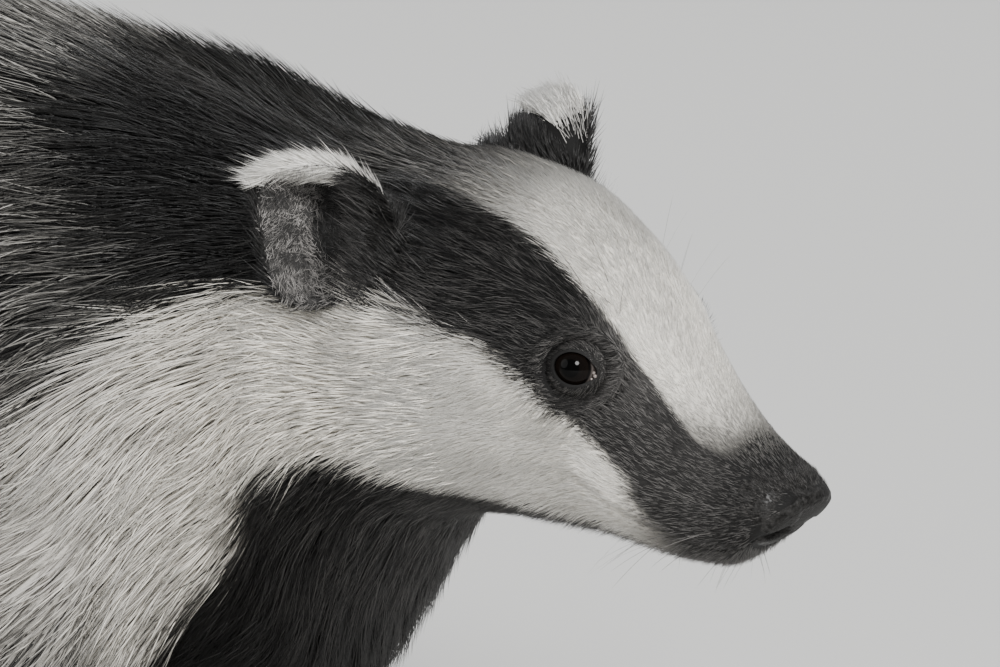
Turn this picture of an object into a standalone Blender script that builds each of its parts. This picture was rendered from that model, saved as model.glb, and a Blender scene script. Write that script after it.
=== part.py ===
"""A life-size European badger, standing on four feet, its head lowered a little and looking ahead.

+X is forward, +Y is the animal's left and +Z is up, in metres. The sizes below are those of the coat's
outer surface. The body is one tube of sections from the nose to the rump, divided into head, neck and
torso, and the legs, ears and tail grow from it. Long guard hair on the neck, torso and tail is built as
flat, tapered locks on a core. Parts that touch keep a gap of 0.3 mm.
"""

import math
import random
from collections import namedtuple

import bmesh
import bpy
import numpy as np
from mathutils import Matrix, Vector
from mathutils.bvhtree import BVHTree

MM = 0.001
GAP = 0.3 * MM
ROOM = 0.45 * MM

# Where the point midway between the eyes stands, and how far the head turns to the animal's right
EYES_FORWARD = 295 * MM
EYES_LEFT = -8 * MM
EYES_HEIGHT = 222 * MM
HEAD_TURN = math.radians(3)

# A section across the body: how far forward it is, then the heights of its top, bottom and widest level,
# and half its width
Section = namedtuple("Section", "at top bottom widest half_width")

# Head sections, in millimetres from the point midway between the eyes
HEAD_SECTIONS = (
    Section(53, -26.5, -38.5, -32.5, 9.5),
    Section(50, -24.2, -42, -33, 12.3),
    Section(45, -20.5, -45.6, -34, 14.5),
    Section(35, -13, -49.5, -34, 17),
    Section(25, -2.5, -50.5, -31, 19.5),
    Section(15, 11, -50, -27, 22.5),
    Section(6, 22.5, -48.5, -20, 26),
    Section(0, 28.5, -47.5, -14, 28.5),
    Section(-9, 35, -46.5, -13, 33),
    Section(-20, 41, -46, -13, 40.5),
    Section(-33, 44.5, -46, -14, 48.5),
    Section(-47, 46.5, -49, -14, 53.5),
    Section(-62, 47.5, -58, -14, 55.5),
    Section(-71, 48.5, -69, -14, 56.5),
    Section(-80, 50, -83, -14, 58.5),
)
# Neck and torso sections, in millimetres on the body's own middle line, with heights above the floor
BODY_SECTIONS = (
    Section(198, 275, 110, 206, 64),
    Section(178, 280, 99, 203, 71),
    Section(155, 284, 95, 198, 80),
    Section(125, 288, 94, 192, 89),
    Section(90, 291, 94, 188, 97),
    Section(40, 294, 93, 184, 105),
    Section(-20, 297, 90, 180, 112),
    Section(-90, 299, 88, 178, 119),
    Section(-160, 299, 90, 182, 120),
    Section(-220, 292, 100, 190, 113),
    Section(-270, 274, 120, 196, 96),
    Section(-305, 250, 146, 199, 72),
    Section(-328, 226, 172, 199, 44),
)
NECK_LENGTH = 96 * MM

# Coat: how far the core of the long-haired parts lies under the coat's outer surface
CORE_DEPTH = 11 * MM
CORE_STEP = 34 * MM  # the core sinks to that depth over this length behind the head

# Eyes
EYE_RADIUS = 6.4 * MM
EYE_SIDE = 22.6 * MM  # from the middle of the head to the middle of the eyeball
EYE_BACK = 2.2 * MM
EYE_GAZE = (0.42, 0.88, 0.16)  # forward, outward and up
LID_RADIUS = 6.3 * MM
LID_THICKNESS = 1.5 * MM

# Ears: the rim's middle and the directions across it, in the head's frame
EAR_AT = (-59 * MM, 54.5 * MM, 31.5 * MM)
EAR_HALF_WIDTH = 18 * MM
EAR_HALF_HEIGHT = 22 * MM
EAR_DEPTH = 13 * MM
EAR_THICKNESS = 4.2 * MM

# Nose pad: its front faces forward and down, and each ring is (depth behind the front, how far it sits
# below the middle of the front, half height, half width) in millimetres
NOSE_FRONT = (50.2 * MM, -36.5 * MM)
NOSE_FACING = math.radians(-46)
NOSE_RINGS = (
    (9, 1.6, 10.8, 13.8),
    (5, 1.6, 11.6, 13.9),
    (2, 1, 11.4, 12.9),
    (0.6, 0.5, 10.2, 11.6),
    (0, 0, 8.6, 9.8),
)
NOSE_SIDES = 18

# Mouth: the corner of the lips and the front of the lower jaw, forward and up from between the eyes
MOUTH_CORNER = (3 * MM, -42 * MM)
MOUTH_FRONT = (38 * MM, -45.5 * MM)
JAW_BACK = -30 * MM

# Legs: rings from the body down, each (forward, outward, up, half length, half width) in millimetres.
# The last ring lies on the paw's top.
FORELEG = (
    (134, 52, 196, 34, 20),
    (132, 62, 170, 42, 28),
    (128, 72, 142, 41, 28),
    (122, 78, 112, 35, 26),
    (120, 80, 84, 27, 23),
    (127, 79, 58, 22, 21),
    (134, 78, 40, 20.5, 21.5),
    (137, 78, 29, 21, 22.5),
)
HINDLEG = (
    (-238, 52, 208, 42, 22),
    (-230, 68, 172, 55, 34),
    (-224, 80, 136, 52, 34),
    (-236, 85, 104, 40, 28),
    (-260, 85, 76, 28, 23),
    (-274, 84, 52, 23, 20.5),
    (-275, 83, 36, 23, 21.5),
)
# Paws: rings from the leg down to the sole, (forward, up, half length, half width)
FOREPAW = ((137, 28.7, 21, 22.5), (141, 18, 26, 25.5), (146, 8, 30, 27), (147, 0, 28, 25))
HINDPAW = ((-275, 35.7, 23, 21.5), (-268, 20, 32, 23), (-260, 9, 38, 24), (-259, 0, 36, 22))
TOES = 5
Toes = namedtuple("Toes", "front spread length radius claw")
FORE_TOES = Toes(170 * MM, 11 * MM, 19 * MM, 6.8 * MM, 27 * MM)
HIND_TOES = Toes(-227 * MM, 9.8 * MM, 16 * MM, 6.2 * MM, 17 * MM)

# Tail: from the rump to the tip, (forward, up, half width) in millimetres
TAIL = (
    (-296, 226, 17),
    (-330, 214, 19),
    (-360, 194, 19),
    (-388, 168, 16),
    (-410, 142, 11),
    (-424, 122, 5),
)

# Locks of guard hair: the length and width of a lock, and how far its tip stands off the coat
Lock = namedtuple("Lock", "length width rise")
NECK_LOCK = Lock(70 * MM, 42 * MM, 2 * MM)
TORSO_LOCK = Lock(114 * MM, 62 * MM, 2 * MM)
TAIL_LOCK = Lock(70 * MM, 26 * MM, 6 * MM)
LOCK_SINK = 6 * MM
LOCK_THICKNESS = 6 * MM
NECK_ROWS = 3
TORSO_ROWS = 7
TAIL_ROWS = 3
SEED = 2

SIDES = {"right": -1, "left": 1}
TURN = Matrix.Translation((EYES_FORWARD, EYES_LEFT, EYES_HEIGHT)) @ Matrix.Rotation(-HEAD_TURN, 4, "Z")


def from_head(forward, left, up):
    """A point given from between the eyes, in the body's frame."""
    return TURN @ Vector((forward, left, up))


def spine_rows():
    """Each section as (forward, left, turn, top, bottom, widest, half width) in the body's frame."""
    rows = []
    for s in HEAD_SECTIONS:
        at = from_head(s.at * MM, 0, 0)
        heights = [EYES_HEIGHT + h * MM for h in (s.top, s.bottom, s.widest)]
        rows.append((at.x, at.y, -HEAD_TURN, *heights, s.half_width * MM))
    for s in BODY_SECTIONS:
        rows.append((s.at * MM, 0, 0, s.top * MM, s.bottom * MM, s.widest * MM, s.half_width * MM))
    return np.array(rows)


ROWS = spine_rows()
ALONG = np.concatenate([[0], np.cumsum(np.hypot(*np.diff(ROWS[:, :2], axis=0).T))])
HEAD_ENDS_ALONG = ALONG[len(HEAD_SECTIONS) - 1]


def section_at(along):
    """The section at a distance behind the nose, on a smooth curve through the given ones."""
    slopes = np.gradient(ROWS, ALONG, axis=0)
    i = int(np.clip(np.searchsorted(ALONG, along) - 1, 0, len(ALONG) - 2))
    step = ALONG[i + 1] - ALONG[i]
    u = (along - ALONG[i]) / step
    start, end = 2 * u**3 - 3 * u**2 + 1, 3 * u**2 - 2 * u**3
    return (
        start * ROWS[i]
        + (u**3 - 2 * u**2 + u) * step * slopes[i]
        + end * ROWS[i + 1]
        + (u**3 - u**2) * step * slopes[i + 1]
    )


def tube_point(along, angle, inset=0.0):
    """A point on the body tube. Angle 0 is the top, and it grows towards the animal's left."""
    x, y, turn, top, bottom, widest, half_width = section_at(along)
    half_width -= inset
    height = (top - widest if math.cos(angle) > 0 else widest - bottom) - inset
    out = half_width * math.sin(angle)
    return Vector((x - math.sin(turn) * out, y + math.cos(turn) * out, widest + height * math.cos(angle)))


def core_inset(along):
    """The core starts level with the head and sinks under the locks behind it."""
    share = min(1.0, max(0.0, (along - HEAD_ENDS_ALONG) / CORE_STEP))
    return CORE_DEPTH * share * share * (3 - 2 * share)


def material(name, colour, roughness):
    m = bpy.data.materials.new(name)
    m.use_nodes = True
    shader = m.node_tree.nodes["Principled BSDF"]
    shader.inputs["Base Color"].default_value = (*colour, 1)
    shader.inputs["Roughness"].default_value = roughness
    return m


def new_object(name, bm, finish=None):
    """An object from a bmesh, in triangles with their normals pointing out."""
    bmesh.ops.triangulate(bm, faces=bm.faces)
    bmesh.ops.recalc_face_normals(bm, faces=bm.faces)
    mesh = bpy.data.meshes.new(name)
    bm.to_mesh(mesh)
    bm.free()
    obj = bpy.data.objects.new(name, mesh)
    bpy.context.scene.collection.objects.link(obj)
    if finish:
        mesh.materials.append(finish)
    return obj


def remove(*objects):
    for obj in objects:
        bpy.data.objects.remove(obj)


def loft(rings):
    """A closed bmesh through rings of points, each end capped round its own middle."""
    bm = bmesh.new()
    loops = [[bm.verts.new(p) for p in ring] for ring in rings]
    count = len(loops[0])
    for a, b in zip(loops, loops[1:]):
        for i in range(count):
            j = (i + 1) % count
            bm.faces.new((a[i], a[j], b[j], b[i]))
    for loop in (loops[0], loops[-1]):
        middle = sum((v.co for v in loop), Vector()) / count
        centre = bm.verts.new(middle)
        for i in range(count):
            bm.faces.new((loop[i], loop[(i + 1) % count], centre))
    return bm


def tube(start, end, rings, sides, inset):
    """Part of the body tube, with inset a length or a function of the place along it."""
    depth = inset if callable(inset) else lambda _: inset
    places = [start + (end - start) * k / (rings - 1) for k in range(rings)]
    angles = [2 * math.pi * k / sides for k in range(sides)]
    return loft([[tube_point(s, a, depth(s)) for a in angles] for s in places])


def apply_modifiers(obj):
    graph = bpy.context.evaluated_depsgraph_get()
    mesh = bpy.data.meshes.new_from_object(obj.evaluated_get(graph))
    obj.modifiers.clear()
    obj.data = mesh


def boolean(obj, operation, other, solver="MANIFOLD"):
    """Cuts or joins obj with an object or a list of objects, applies it and removes the others."""
    others = other if isinstance(other, list) else [other]
    group = bpy.data.collections.new("operands")
    bpy.context.scene.collection.children.link(group)
    for each in others:
        bpy.context.scene.collection.objects.unlink(each)
        group.objects.link(each)
    m = obj.modifiers.new(operation.title(), "BOOLEAN")
    m.operation = operation
    m.operand_type = "COLLECTION"
    m.collection = group
    m.solver = solver
    bpy.context.view_layer.update()
    apply_modifiers(obj)
    remove(*others)
    bpy.data.collections.remove(group)
    keep_largest(obj)
    return obj


def keep_largest(obj):
    """Leaves the largest closed surface of the mesh."""
    bm = bmesh.new()
    bm.from_mesh(obj.data)
    left, shells = set(bm.faces), []
    while left:
        shell, front = set(), [left.pop()]
        while front:
            face = front.pop()
            shell.add(face)
            for edge in face.edges:
                if len(edge.link_faces) != 2:
                    continue
                for near in edge.link_faces:
                    if near in left:
                        left.remove(near)
                        front.append(near)
        shells.append(shell)
    shells.sort(key=lambda shell: -sum(f.calc_area() for f in shell))
    loose = [f for shell in shells[1:] for f in shell]
    if loose:
        bmesh.ops.delete(bm, geom=loose, context="FACES")
    bmesh.ops.triangulate(bm, faces=bm.faces)
    bm.to_mesh(obj.data)
    bm.free()


def copy_of(obj, name="cutter"):
    twin = obj.copy()
    twin.data = obj.data.copy()
    twin.name = name
    bpy.context.scene.collection.objects.link(twin)
    return twin


def grown(obj, by):
    """A copy with its surface moved out, to cut room for obj in a neighbour."""
    twin = copy_of(obj)
    normals = [v.normal.copy() for v in twin.data.vertices]
    for v, normal in zip(twin.data.vertices, normals):
        v.co += normal * by
    return twin


def ball(centre, radii, rotation=None, across=12, up=8):
    """A bmesh ellipsoid."""
    bm = bmesh.new()
    bmesh.ops.create_uvsphere(bm, u_segments=across, v_segments=up, radius=1)
    turn = rotation.to_4x4() if rotation else Matrix.Identity(4)
    bmesh.ops.transform(bm, matrix=Matrix.Translation(centre) @ turn @ Matrix.Diagonal((*radii, 1)), verts=bm.verts)
    return bm


def rod(stops, sides):
    """A closed bmesh of round rings along (point, radius) stops; a radius of nothing makes a tip."""
    points = [p for p, _ in stops]
    rings = []
    for k, (point, radius) in enumerate(stops):
        along = (points[min(k + 1, len(points) - 1)] - points[max(k - 1, 0)]).normalized()
        side = along.cross(Vector((0, 0, 1)) if abs(along.z) < 0.9 else Vector((1, 0, 0))).normalized()
        up = side.cross(along)
        angles = [2 * math.pi * j / sides for j in range(sides)]
        rings.append([point + (side * math.cos(a) + up * math.sin(a)) * radius for a in angles])
    return loft(rings)


def box(low, high):
    bm = bmesh.new()
    bmesh.ops.create_cube(bm, size=1)
    size = Vector(high) - Vector(low)
    middle = (Vector(high) + Vector(low)) / 2
    bmesh.ops.transform(bm, matrix=Matrix.Translation(middle) @ Matrix.Diagonal((*size, 1)), verts=bm.verts)
    return bm


def tree_of(obj, grow=0.0):
    """A search tree of the object's faces, moved out by grow."""
    bm = bmesh.new()
    bm.from_mesh(obj.data)
    bm.normal_update()
    if grow:
        for v in bm.verts:
            v.co += v.normal * grow
    tree = BVHTree.FromBMesh(bm)
    bm.free()
    return tree


# Head

def head_solid():
    """The head's tube as far as the neck, still whole."""
    return new_object("head", tube(0, HEAD_ENDS_ALONG, 17, 26, 0))


def side_prism(outline, half_width):
    """An outline of (forward, up) points in the head's frame, made a prism across the head."""
    rings = [[from_head(x, y, z) for x, z in outline] for y in (-half_width, half_width)]
    return loft(rings)


def jaw_outline(clear):
    """The lower jaw seen from the side: under the mouth line, from behind the corner to the chin."""
    corner, front = Vector(MOUTH_CORNER), Vector(MOUTH_FRONT)
    low = -70 * MM
    return [
        (JAW_BACK - clear, low),
        (JAW_BACK - clear, corner.y - 1.5 * MM),
        (corner.x - 14 * MM, corner.y + clear),
        (corner.x, corner.y + clear),
        ((corner.x + front.x) / 2, (corner.y + front.y) / 2 - 0.8 * MM + clear),
        (front.x + clear, front.y + clear),
        (front.x + clear, low),
    ]


def gaze(side):
    forward, out, up = EYE_GAZE
    return (TURN.to_3x3() @ Vector((forward, side * out, up))).normalized()


def eye_centre(side):
    return from_head(-EYE_BACK, side * EYE_SIDE, 0)


def lid_ring(side):
    """The two lids as one raised almond round the eyeball, fused to the head."""
    look = gaze(side)
    across = Vector((0, 0, 1)).cross(look).normalized() * -side
    up = look.cross(across).normalized() * -side
    if up.z < 0:
        up = -up
    steps, sides = 16, 5
    rings = []
    for k in range(steps):
        a = 2 * math.pi * k / steps
        x, y = math.cos(a) * LID_RADIUS * 1.08, math.sin(a) * LID_RADIUS * 0.86
        tilt = math.radians(-14)
        x, y = x * math.cos(tilt) - y * math.sin(tilt), x * math.sin(tilt) + y * math.cos(tilt)
        depth = math.sqrt(max(0.0, (EYE_RADIUS + GAP + 0.6 * MM) ** 2 - min(x * x + y * y, EYE_RADIUS**2 * 0.93)))
        middle = eye_centre(side) + across * x + up * y + look * (depth - 0.4 * MM)
        radial = (across * x + up * y).normalized()
        ring = []
        for j in range(sides):
            b = 2 * math.pi * j / sides
            ring.append(middle + (radial * math.cos(b) + look * math.sin(b)) * LID_THICKNESS)
        rings.append(ring)
    bm = bmesh.new()
    loops = [[bm.verts.new(p) for p in ring] for ring in rings]
    for k in range(steps):
        a, b = loops[k], loops[(k + 1) % steps]
        for j in range(sides):
            n = (j + 1) % sides
            bm.faces.new((a[j], a[n], b[n], b[j]))
    return bm


def make_eyes(finish):
    return {
        name: new_object(
            "eye_" + name,
            ball(eye_centre(side), (EYE_RADIUS,) * 3, gaze(side).to_track_quat("Z", "Y").to_matrix(), 14, 8),
            finish,
        )
        for name, side in SIDES.items()
    }


def make_head_and_jaw(fur):
    head = head_solid()
    lids = [new_object("lid", lid_ring(side)) for side in SIDES.values()]
    brows = [
        new_object("brow", ball(from_head(-4 * MM, side * 20 * MM, 8 * MM), (13 * MM, 6 * MM, 6 * MM)))
        for side in SIDES.values()
    ]
    boolean(head, "UNION", brows)
    boolean(head, "UNION", lids)
    sockets = [
        new_object("socket", ball(eye_centre(side), (EYE_RADIUS + GAP,) * 3, None, 14, 8))
        for side in SIDES.values()
    ]
    boolean(head, "DIFFERENCE", sockets)
    boolean(head, "DIFFERENCE", new_object("nose_seat", loft(nose_rings(GAP, 14 * MM))))
    jaw = copy_of(head, "jaw")
    boolean(jaw, "INTERSECT", new_object("mouth", side_prism(jaw_outline(0), 80 * MM)))
    boolean(head, "DIFFERENCE", new_object("mouth", side_prism(jaw_outline(GAP), 80 * MM)))
    for obj in (head, jaw):
        obj.data.materials.clear()
        obj.data.materials.append(fur)
    return head, jaw


def nose_rings(grow=0.0, ahead=0.0):
    """Rings of the nose pad from the back to the front, grown for the seat that it lies in."""
    facing = Vector((math.cos(NOSE_FACING), math.sin(NOSE_FACING)))
    rise = Vector((-facing.y, facing.x))
    rings = []
    spec = [tuple(v * MM for v in ring) for ring in NOSE_RINGS]
    if grow:
        widest = max(spec, key=lambda ring: ring[3])
        spec = [(spec[0][0] + grow, *spec[0][1:])] + spec[1:3] + [(0, *widest[1:]), (-ahead, *widest[1:])]
    for depth, drop, half_height, half_width in spec:
        middle = Vector(NOSE_FRONT) - facing * depth - rise * drop
        ring = []
        for k in range(NOSE_SIDES):
            a = 2 * math.pi * k / NOSE_SIDES
            narrow = 1 - 0.12 * abs(math.cos(a)) ** 3
            across = math.sin(a) * (half_width + grow) * narrow
            at = middle + rise * math.cos(a) * (half_height + grow)
            ring.append(from_head(at.x, across, at.y))
        rings.append(ring)
    return rings


def nose_point(depth, across, up):
    """A point in the nose pad's own directions from the middle of its front."""
    facing = Vector((math.cos(NOSE_FACING), math.sin(NOSE_FACING)))
    at = Vector(NOSE_FRONT) - facing * depth + Vector((-facing.y, facing.x)) * up
    return from_head(at.x, across, at.y)


def make_nose(finish):
    """The nose pad: comma-shaped nostrils, open in front and slit up the side, and a groove between."""
    nose = new_object("nose", loft(nose_rings()), finish)
    cutters = []
    for side in SIDES.values():
        front = nose_point(0, side * 5.4 * MM, -2.5 * MM)
        cutters.append(new_object("nostril", ball(front, (3 * MM, 2.7 * MM, 2.7 * MM), None, 8, 6)))
        slit = [
            (nose_point(d * MM, side * y * MM, z * MM), r * MM)
            for d, y, z, r in ((0.5, 7, -2.6, 1.3), (3, 12, -3, 1.1), (5, 14, 0, 1), (6, 14, 4, 0.5))
        ]
        cutters.append(new_object("slit", rod(slit, 6)))
    groove = [(nose_point(-0.3 * MM, 0, up * MM), 0.75 * MM) for up in (-13, -6, 1)]
    cutters.append(new_object("groove", rod(groove, 6)))
    boolean(nose, "DIFFERENCE", cutters)
    return nose


def ear_frame(side):
    """The ear's middle, and the directions to its rear, up and out of its cup."""
    out = Vector((0.42, side * 0.89, -0.12)).normalized()
    rear = Vector((-0.88, side * 0.38, -0.1))
    rear = (rear - out * rear.dot(out)).normalized()
    up = rear.cross(out) * side
    if up.z < 0:
        up = -up
    turn = TURN.to_3x3()
    return from_head(EAR_AT[0], side * EAR_AT[1], EAR_AT[2]), turn @ rear, turn @ up, turn @ out


def ear_bowl(side, share, angle, lift):
    """A point of the ear's cup: share 0 is its middle and 1 its rim."""
    middle, rear, up, out = ear_frame(side)
    across = math.cos(angle) * share
    along = math.sin(angle) * share
    narrow = 1 - 0.22 * max(0.0, -along)
    return (
        middle
        + rear * across * EAR_HALF_WIDTH * narrow
        + up * along * EAR_HALF_HEIGHT
        - out * (EAR_DEPTH * (1 - share * share) - lift)
    )


def make_ear(name, side, bodies, finish):
    """A cupped ear with a thick wall, on a root that meets the head face to face."""
    sides, steps = 18, 4
    inner = [[ear_bowl(side, k / steps, 2 * math.pi * j / sides, 0) for j in range(sides)] for k in range(1, steps + 1)]
    thick = [EAR_THICKNESS * (1.7 - 0.9 * k / steps) for k in range(1, steps + 1)]
    outer = []
    for k in range(steps, 0, -1):
        grow = 1 + 0.05 * (k / steps)
        outer.append(
            [ear_bowl(side, k / steps * grow, 2 * math.pi * j / sides, -thick[k - 1]) for j in range(sides)]
        )
    ear = new_object("ear_" + name, loft(inner + outer), finish)
    middle, _, up, out = ear_frame(side)
    root = ball(middle - out * EAR_DEPTH * 1.5 - up * 7 * MM, (13 * MM, 13 * MM, 15 * MM))
    boolean(ear, "UNION", new_object("root", root))
    boolean(ear, "DIFFERENCE", new_object("canal", ball(middle - out * EAR_DEPTH * 0.95 - up * 3 * MM, (4 * MM,) * 3)))
    for body in bodies:
        boolean(ear, "DIFFERENCE", grown(body, ROOM))
    return ear


# Legs and paws

def oval(forward, left, up, half_length, half_width, sides=14):
    """A level ring, a little squarer than an ellipse."""
    ring = []
    for k in range(sides):
        a = 2 * math.pi * k / sides
        x, y = math.cos(a), math.sin(a)
        x, y = math.copysign(abs(x) ** 0.9, x), math.copysign(abs(y) ** 0.9, y)
        ring.append(Vector((forward + half_length * x, left + half_width * y, up)))
    return ring


def make_leg(name, rings, side, bodies, finish):
    levels = [oval(x * MM, side * y * MM, z * MM, a * MM, b * MM) for x, y, z, a, b in rings]
    leg = new_object(name, loft(levels), finish)
    for body in bodies:
        boolean(leg, "DIFFERENCE", grown(body, ROOM))
    return leg


def make_paw(name, rings, toes, side, middle, finish):
    """A paw on a flat sole, with five toes side by side, each with a curved claw."""
    middle = side * middle
    levels = [oval(x * MM, middle, z * MM, a * MM, b * MM) for x, z, a, b in rings]
    paw = new_object(name, loft(levels), finish)
    pieces = []
    for k in range(TOES):
        off = k - (TOES - 1) / 2
        across = middle + off * toes.spread
        fan = math.radians(5) * off
        ahead = Vector((math.cos(fan), math.sin(fan), 0))
        start = Vector((toes.front - abs(off) * 3.2 * MM - (off * side < -1) * 4 * MM, across, toes.radius))
        r = toes.radius
        line = [
            (start - ahead * 12 * MM + Vector((0, 0, 3 * MM)), r * 0.9),
            (start + ahead * toes.length * 0.55, r),
            (start + ahead * toes.length, r * 0.6),
        ]
        pieces.append(new_object("toe", rod(line, 6)))
        tip = start + ahead * toes.length
        claw = [
            (tip - ahead * 5 * MM + Vector((0, 0, 1 * MM)), r * 0.44),
            (tip + ahead * toes.claw * 0.45 + Vector((0, 0, 1 * MM)), r * 0.32),
            (tip + ahead * toes.claw + Vector((0, 0, -r + 0.9 * MM)), 0.35 * MM),
        ]
        pieces.append(new_object("claw", rod(claw, 4)))
    boolean(paw, "UNION", pieces)
    reach = 0.2
    floor = new_object("floor", box((toes.front - reach, middle - reach, -0.1), (toes.front + reach, middle + reach, 0)))
    return boolean(paw, "DIFFERENCE", floor)


# Tail and coat

def tail_at(share):
    """Forward, up and half width of the tail, from its root to its tip."""
    spot = share * (len(TAIL) - 1)
    i = min(int(spot), len(TAIL) - 2)
    u = spot - i
    return [(a + (b - a) * u) * MM for a, b in zip(TAIL[i], TAIL[i + 1])]


def tail_point(share, angle, inset=0.0):
    """A point on the tail. Angle 0 is the top, and it grows towards the animal's left."""
    x, z, radius = tail_at(share)
    ahead, behind = tail_at(max(0, share - 0.05)), tail_at(min(1, share + 0.05))
    along = Vector((behind[0] - ahead[0], 0, behind[1] - ahead[1])).normalized()
    up = Vector((-along.z, 0, along.x))
    up = -up if up.z < 0 else up
    out = up * math.cos(angle) + Vector((0, 1, 0)) * math.sin(angle) * 1.15
    return Vector((x, 0, z)) + out * (radius - inset)


def lock_solid(path, width, thickness):
    """A flat, tapered lock of four sides along a path of (point, outward direction), down to a tip."""
    bm = bmesh.new()
    loops = []
    shape = ((0, 0.7, 1), (1, 1, 1), (2, 0.92, 0.8), (3, 0.62, 0.5))
    for k, wide, thick in shape:
        point, out = path[k]
        along = (path[k + 1][0] - path[max(k - 1, 0)][0]).normalized()
        side = out.cross(along).normalized() * width * wide / 2
        lift = along.cross(side).normalized() * -thickness * thick / 2
        loops.append([bm.verts.new(p) for p in (point + side, point + lift, point - side, point - lift)])
    bm.faces.new(loops[0])
    for a, b in zip(loops, loops[1:]):
        for i in range(4):
            bm.faces.new((a[i], a[(i + 1) % 4], b[(i + 1) % 4], b[i]))
    tip = bm.verts.new(path[-1][0])
    for i in range(4):
        bm.faces.new((loops[-1][i], loops[-1][(i + 1) % 4], tip))
    return bm


def body_lock(draw, along, angle, lock, lift):
    """A lock that lies back along the body and down its sides. Lift raises it clear of a neighbour."""
    length = lock.length * (1 + 0.13 * draw[0])
    lean = 0.42 * math.sin(angle) * (1 if math.cos(angle) > -0.5 else 0.4) + 0.12 * draw[1]
    bend = 0.15 * draw[2]
    path = []
    for k in range(5):
        t = k / 4
        heading = lean + bend * t
        s = along + length * t * math.cos(heading)
        s = min(s, ALONG[-1] - 1 * MM)
        radius = section_at(s)[6]
        a = angle + length * t * math.sin(heading) / max(radius, 40 * MM)
        depth = (core_inset(along) + LOCK_SINK) * (1 - t) ** 1.25 - (lock.rise + lift) * t - lift * 0.8 * min(1, t * 3)
        point = tube_point(s, a, depth)
        out = (tube_point(s, a, depth - 2 * MM) - point).normalized()
        path.append((point, out))
    return lock_solid(path, lock.width * (1 + 0.11 * draw[3]), LOCK_THICKNESS)


def tail_lock(draw, share, angle, lock, lift):
    """A lock that lies along the tail towards its tip."""
    path = []
    x, z, radius = tail_at(share)
    start = tail_point(share, angle, LOCK_SINK)
    ahead = tail_at(min(1, share + 0.3))
    along = Vector((ahead[0] - x, 0, ahead[1] - z)).normalized()
    out = (tail_point(share, angle, -5 * MM) - start).normalized()
    length = lock.length * (1 + 0.12 * draw[0])
    for k in range(5):
        t = k / 4
        height = (LOCK_SINK + lock.rise + lift) * (1 - (1 - t) ** 1.6)
        path.append((start + along * length * t + out * height, out))
    return lock_solid(path, lock.width * (1 + 0.11 * draw[3]), LOCK_THICKNESS)


def touches(bm, trees):
    tree = BVHTree.FromBMesh(bm)
    return any(tree.overlap(other) for other in trees)


def add_locks(obj, places, make, lock, neighbours):
    """Fuses a lock at each place, lifted or left out where it would touch a neighbour or the floor."""
    trees = [tree_of(each, 2 * GAP) for each in neighbours]
    rng = random.Random(SEED)
    locks = []
    for place in places:
        draw = [rng.uniform(-1, 1) for _ in range(4)]
        for lift in (0, 5 * MM, 10 * MM):
            bm = make(draw, *place, lock, lift)
            if not touches(bm, trees) and min(v.co.z for v in bm.verts) > 20 * MM:
                locks.append(new_object("lock", bm))
                break
            bm.free()
    return boolean(obj, "UNION", locks)


def rows(first, last, count, spacing, girth):
    """Places for locks in rows round the body, each row set half a step from the one before."""
    places = []
    for k in range(count):
        along = first + (last - first) * k / max(count - 1, 1)
        around = max(5, round(girth(along) / spacing))
        for j in range(around):
            places.append((along, 2 * math.pi * (j + (k % 2) / 2) / around))
    return places


def body_girth(along):
    row = section_at(along)
    return math.pi * (row[6] + (row[3] - row[4]) / 2)


def tail_girth(share):
    return 2 * math.pi * tail_at(share)[2]


def finish_mesh(obj):
    obj.data.shade_smooth()
    obj.data.set_sharp_from_angle(angle=math.radians(40))


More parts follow.
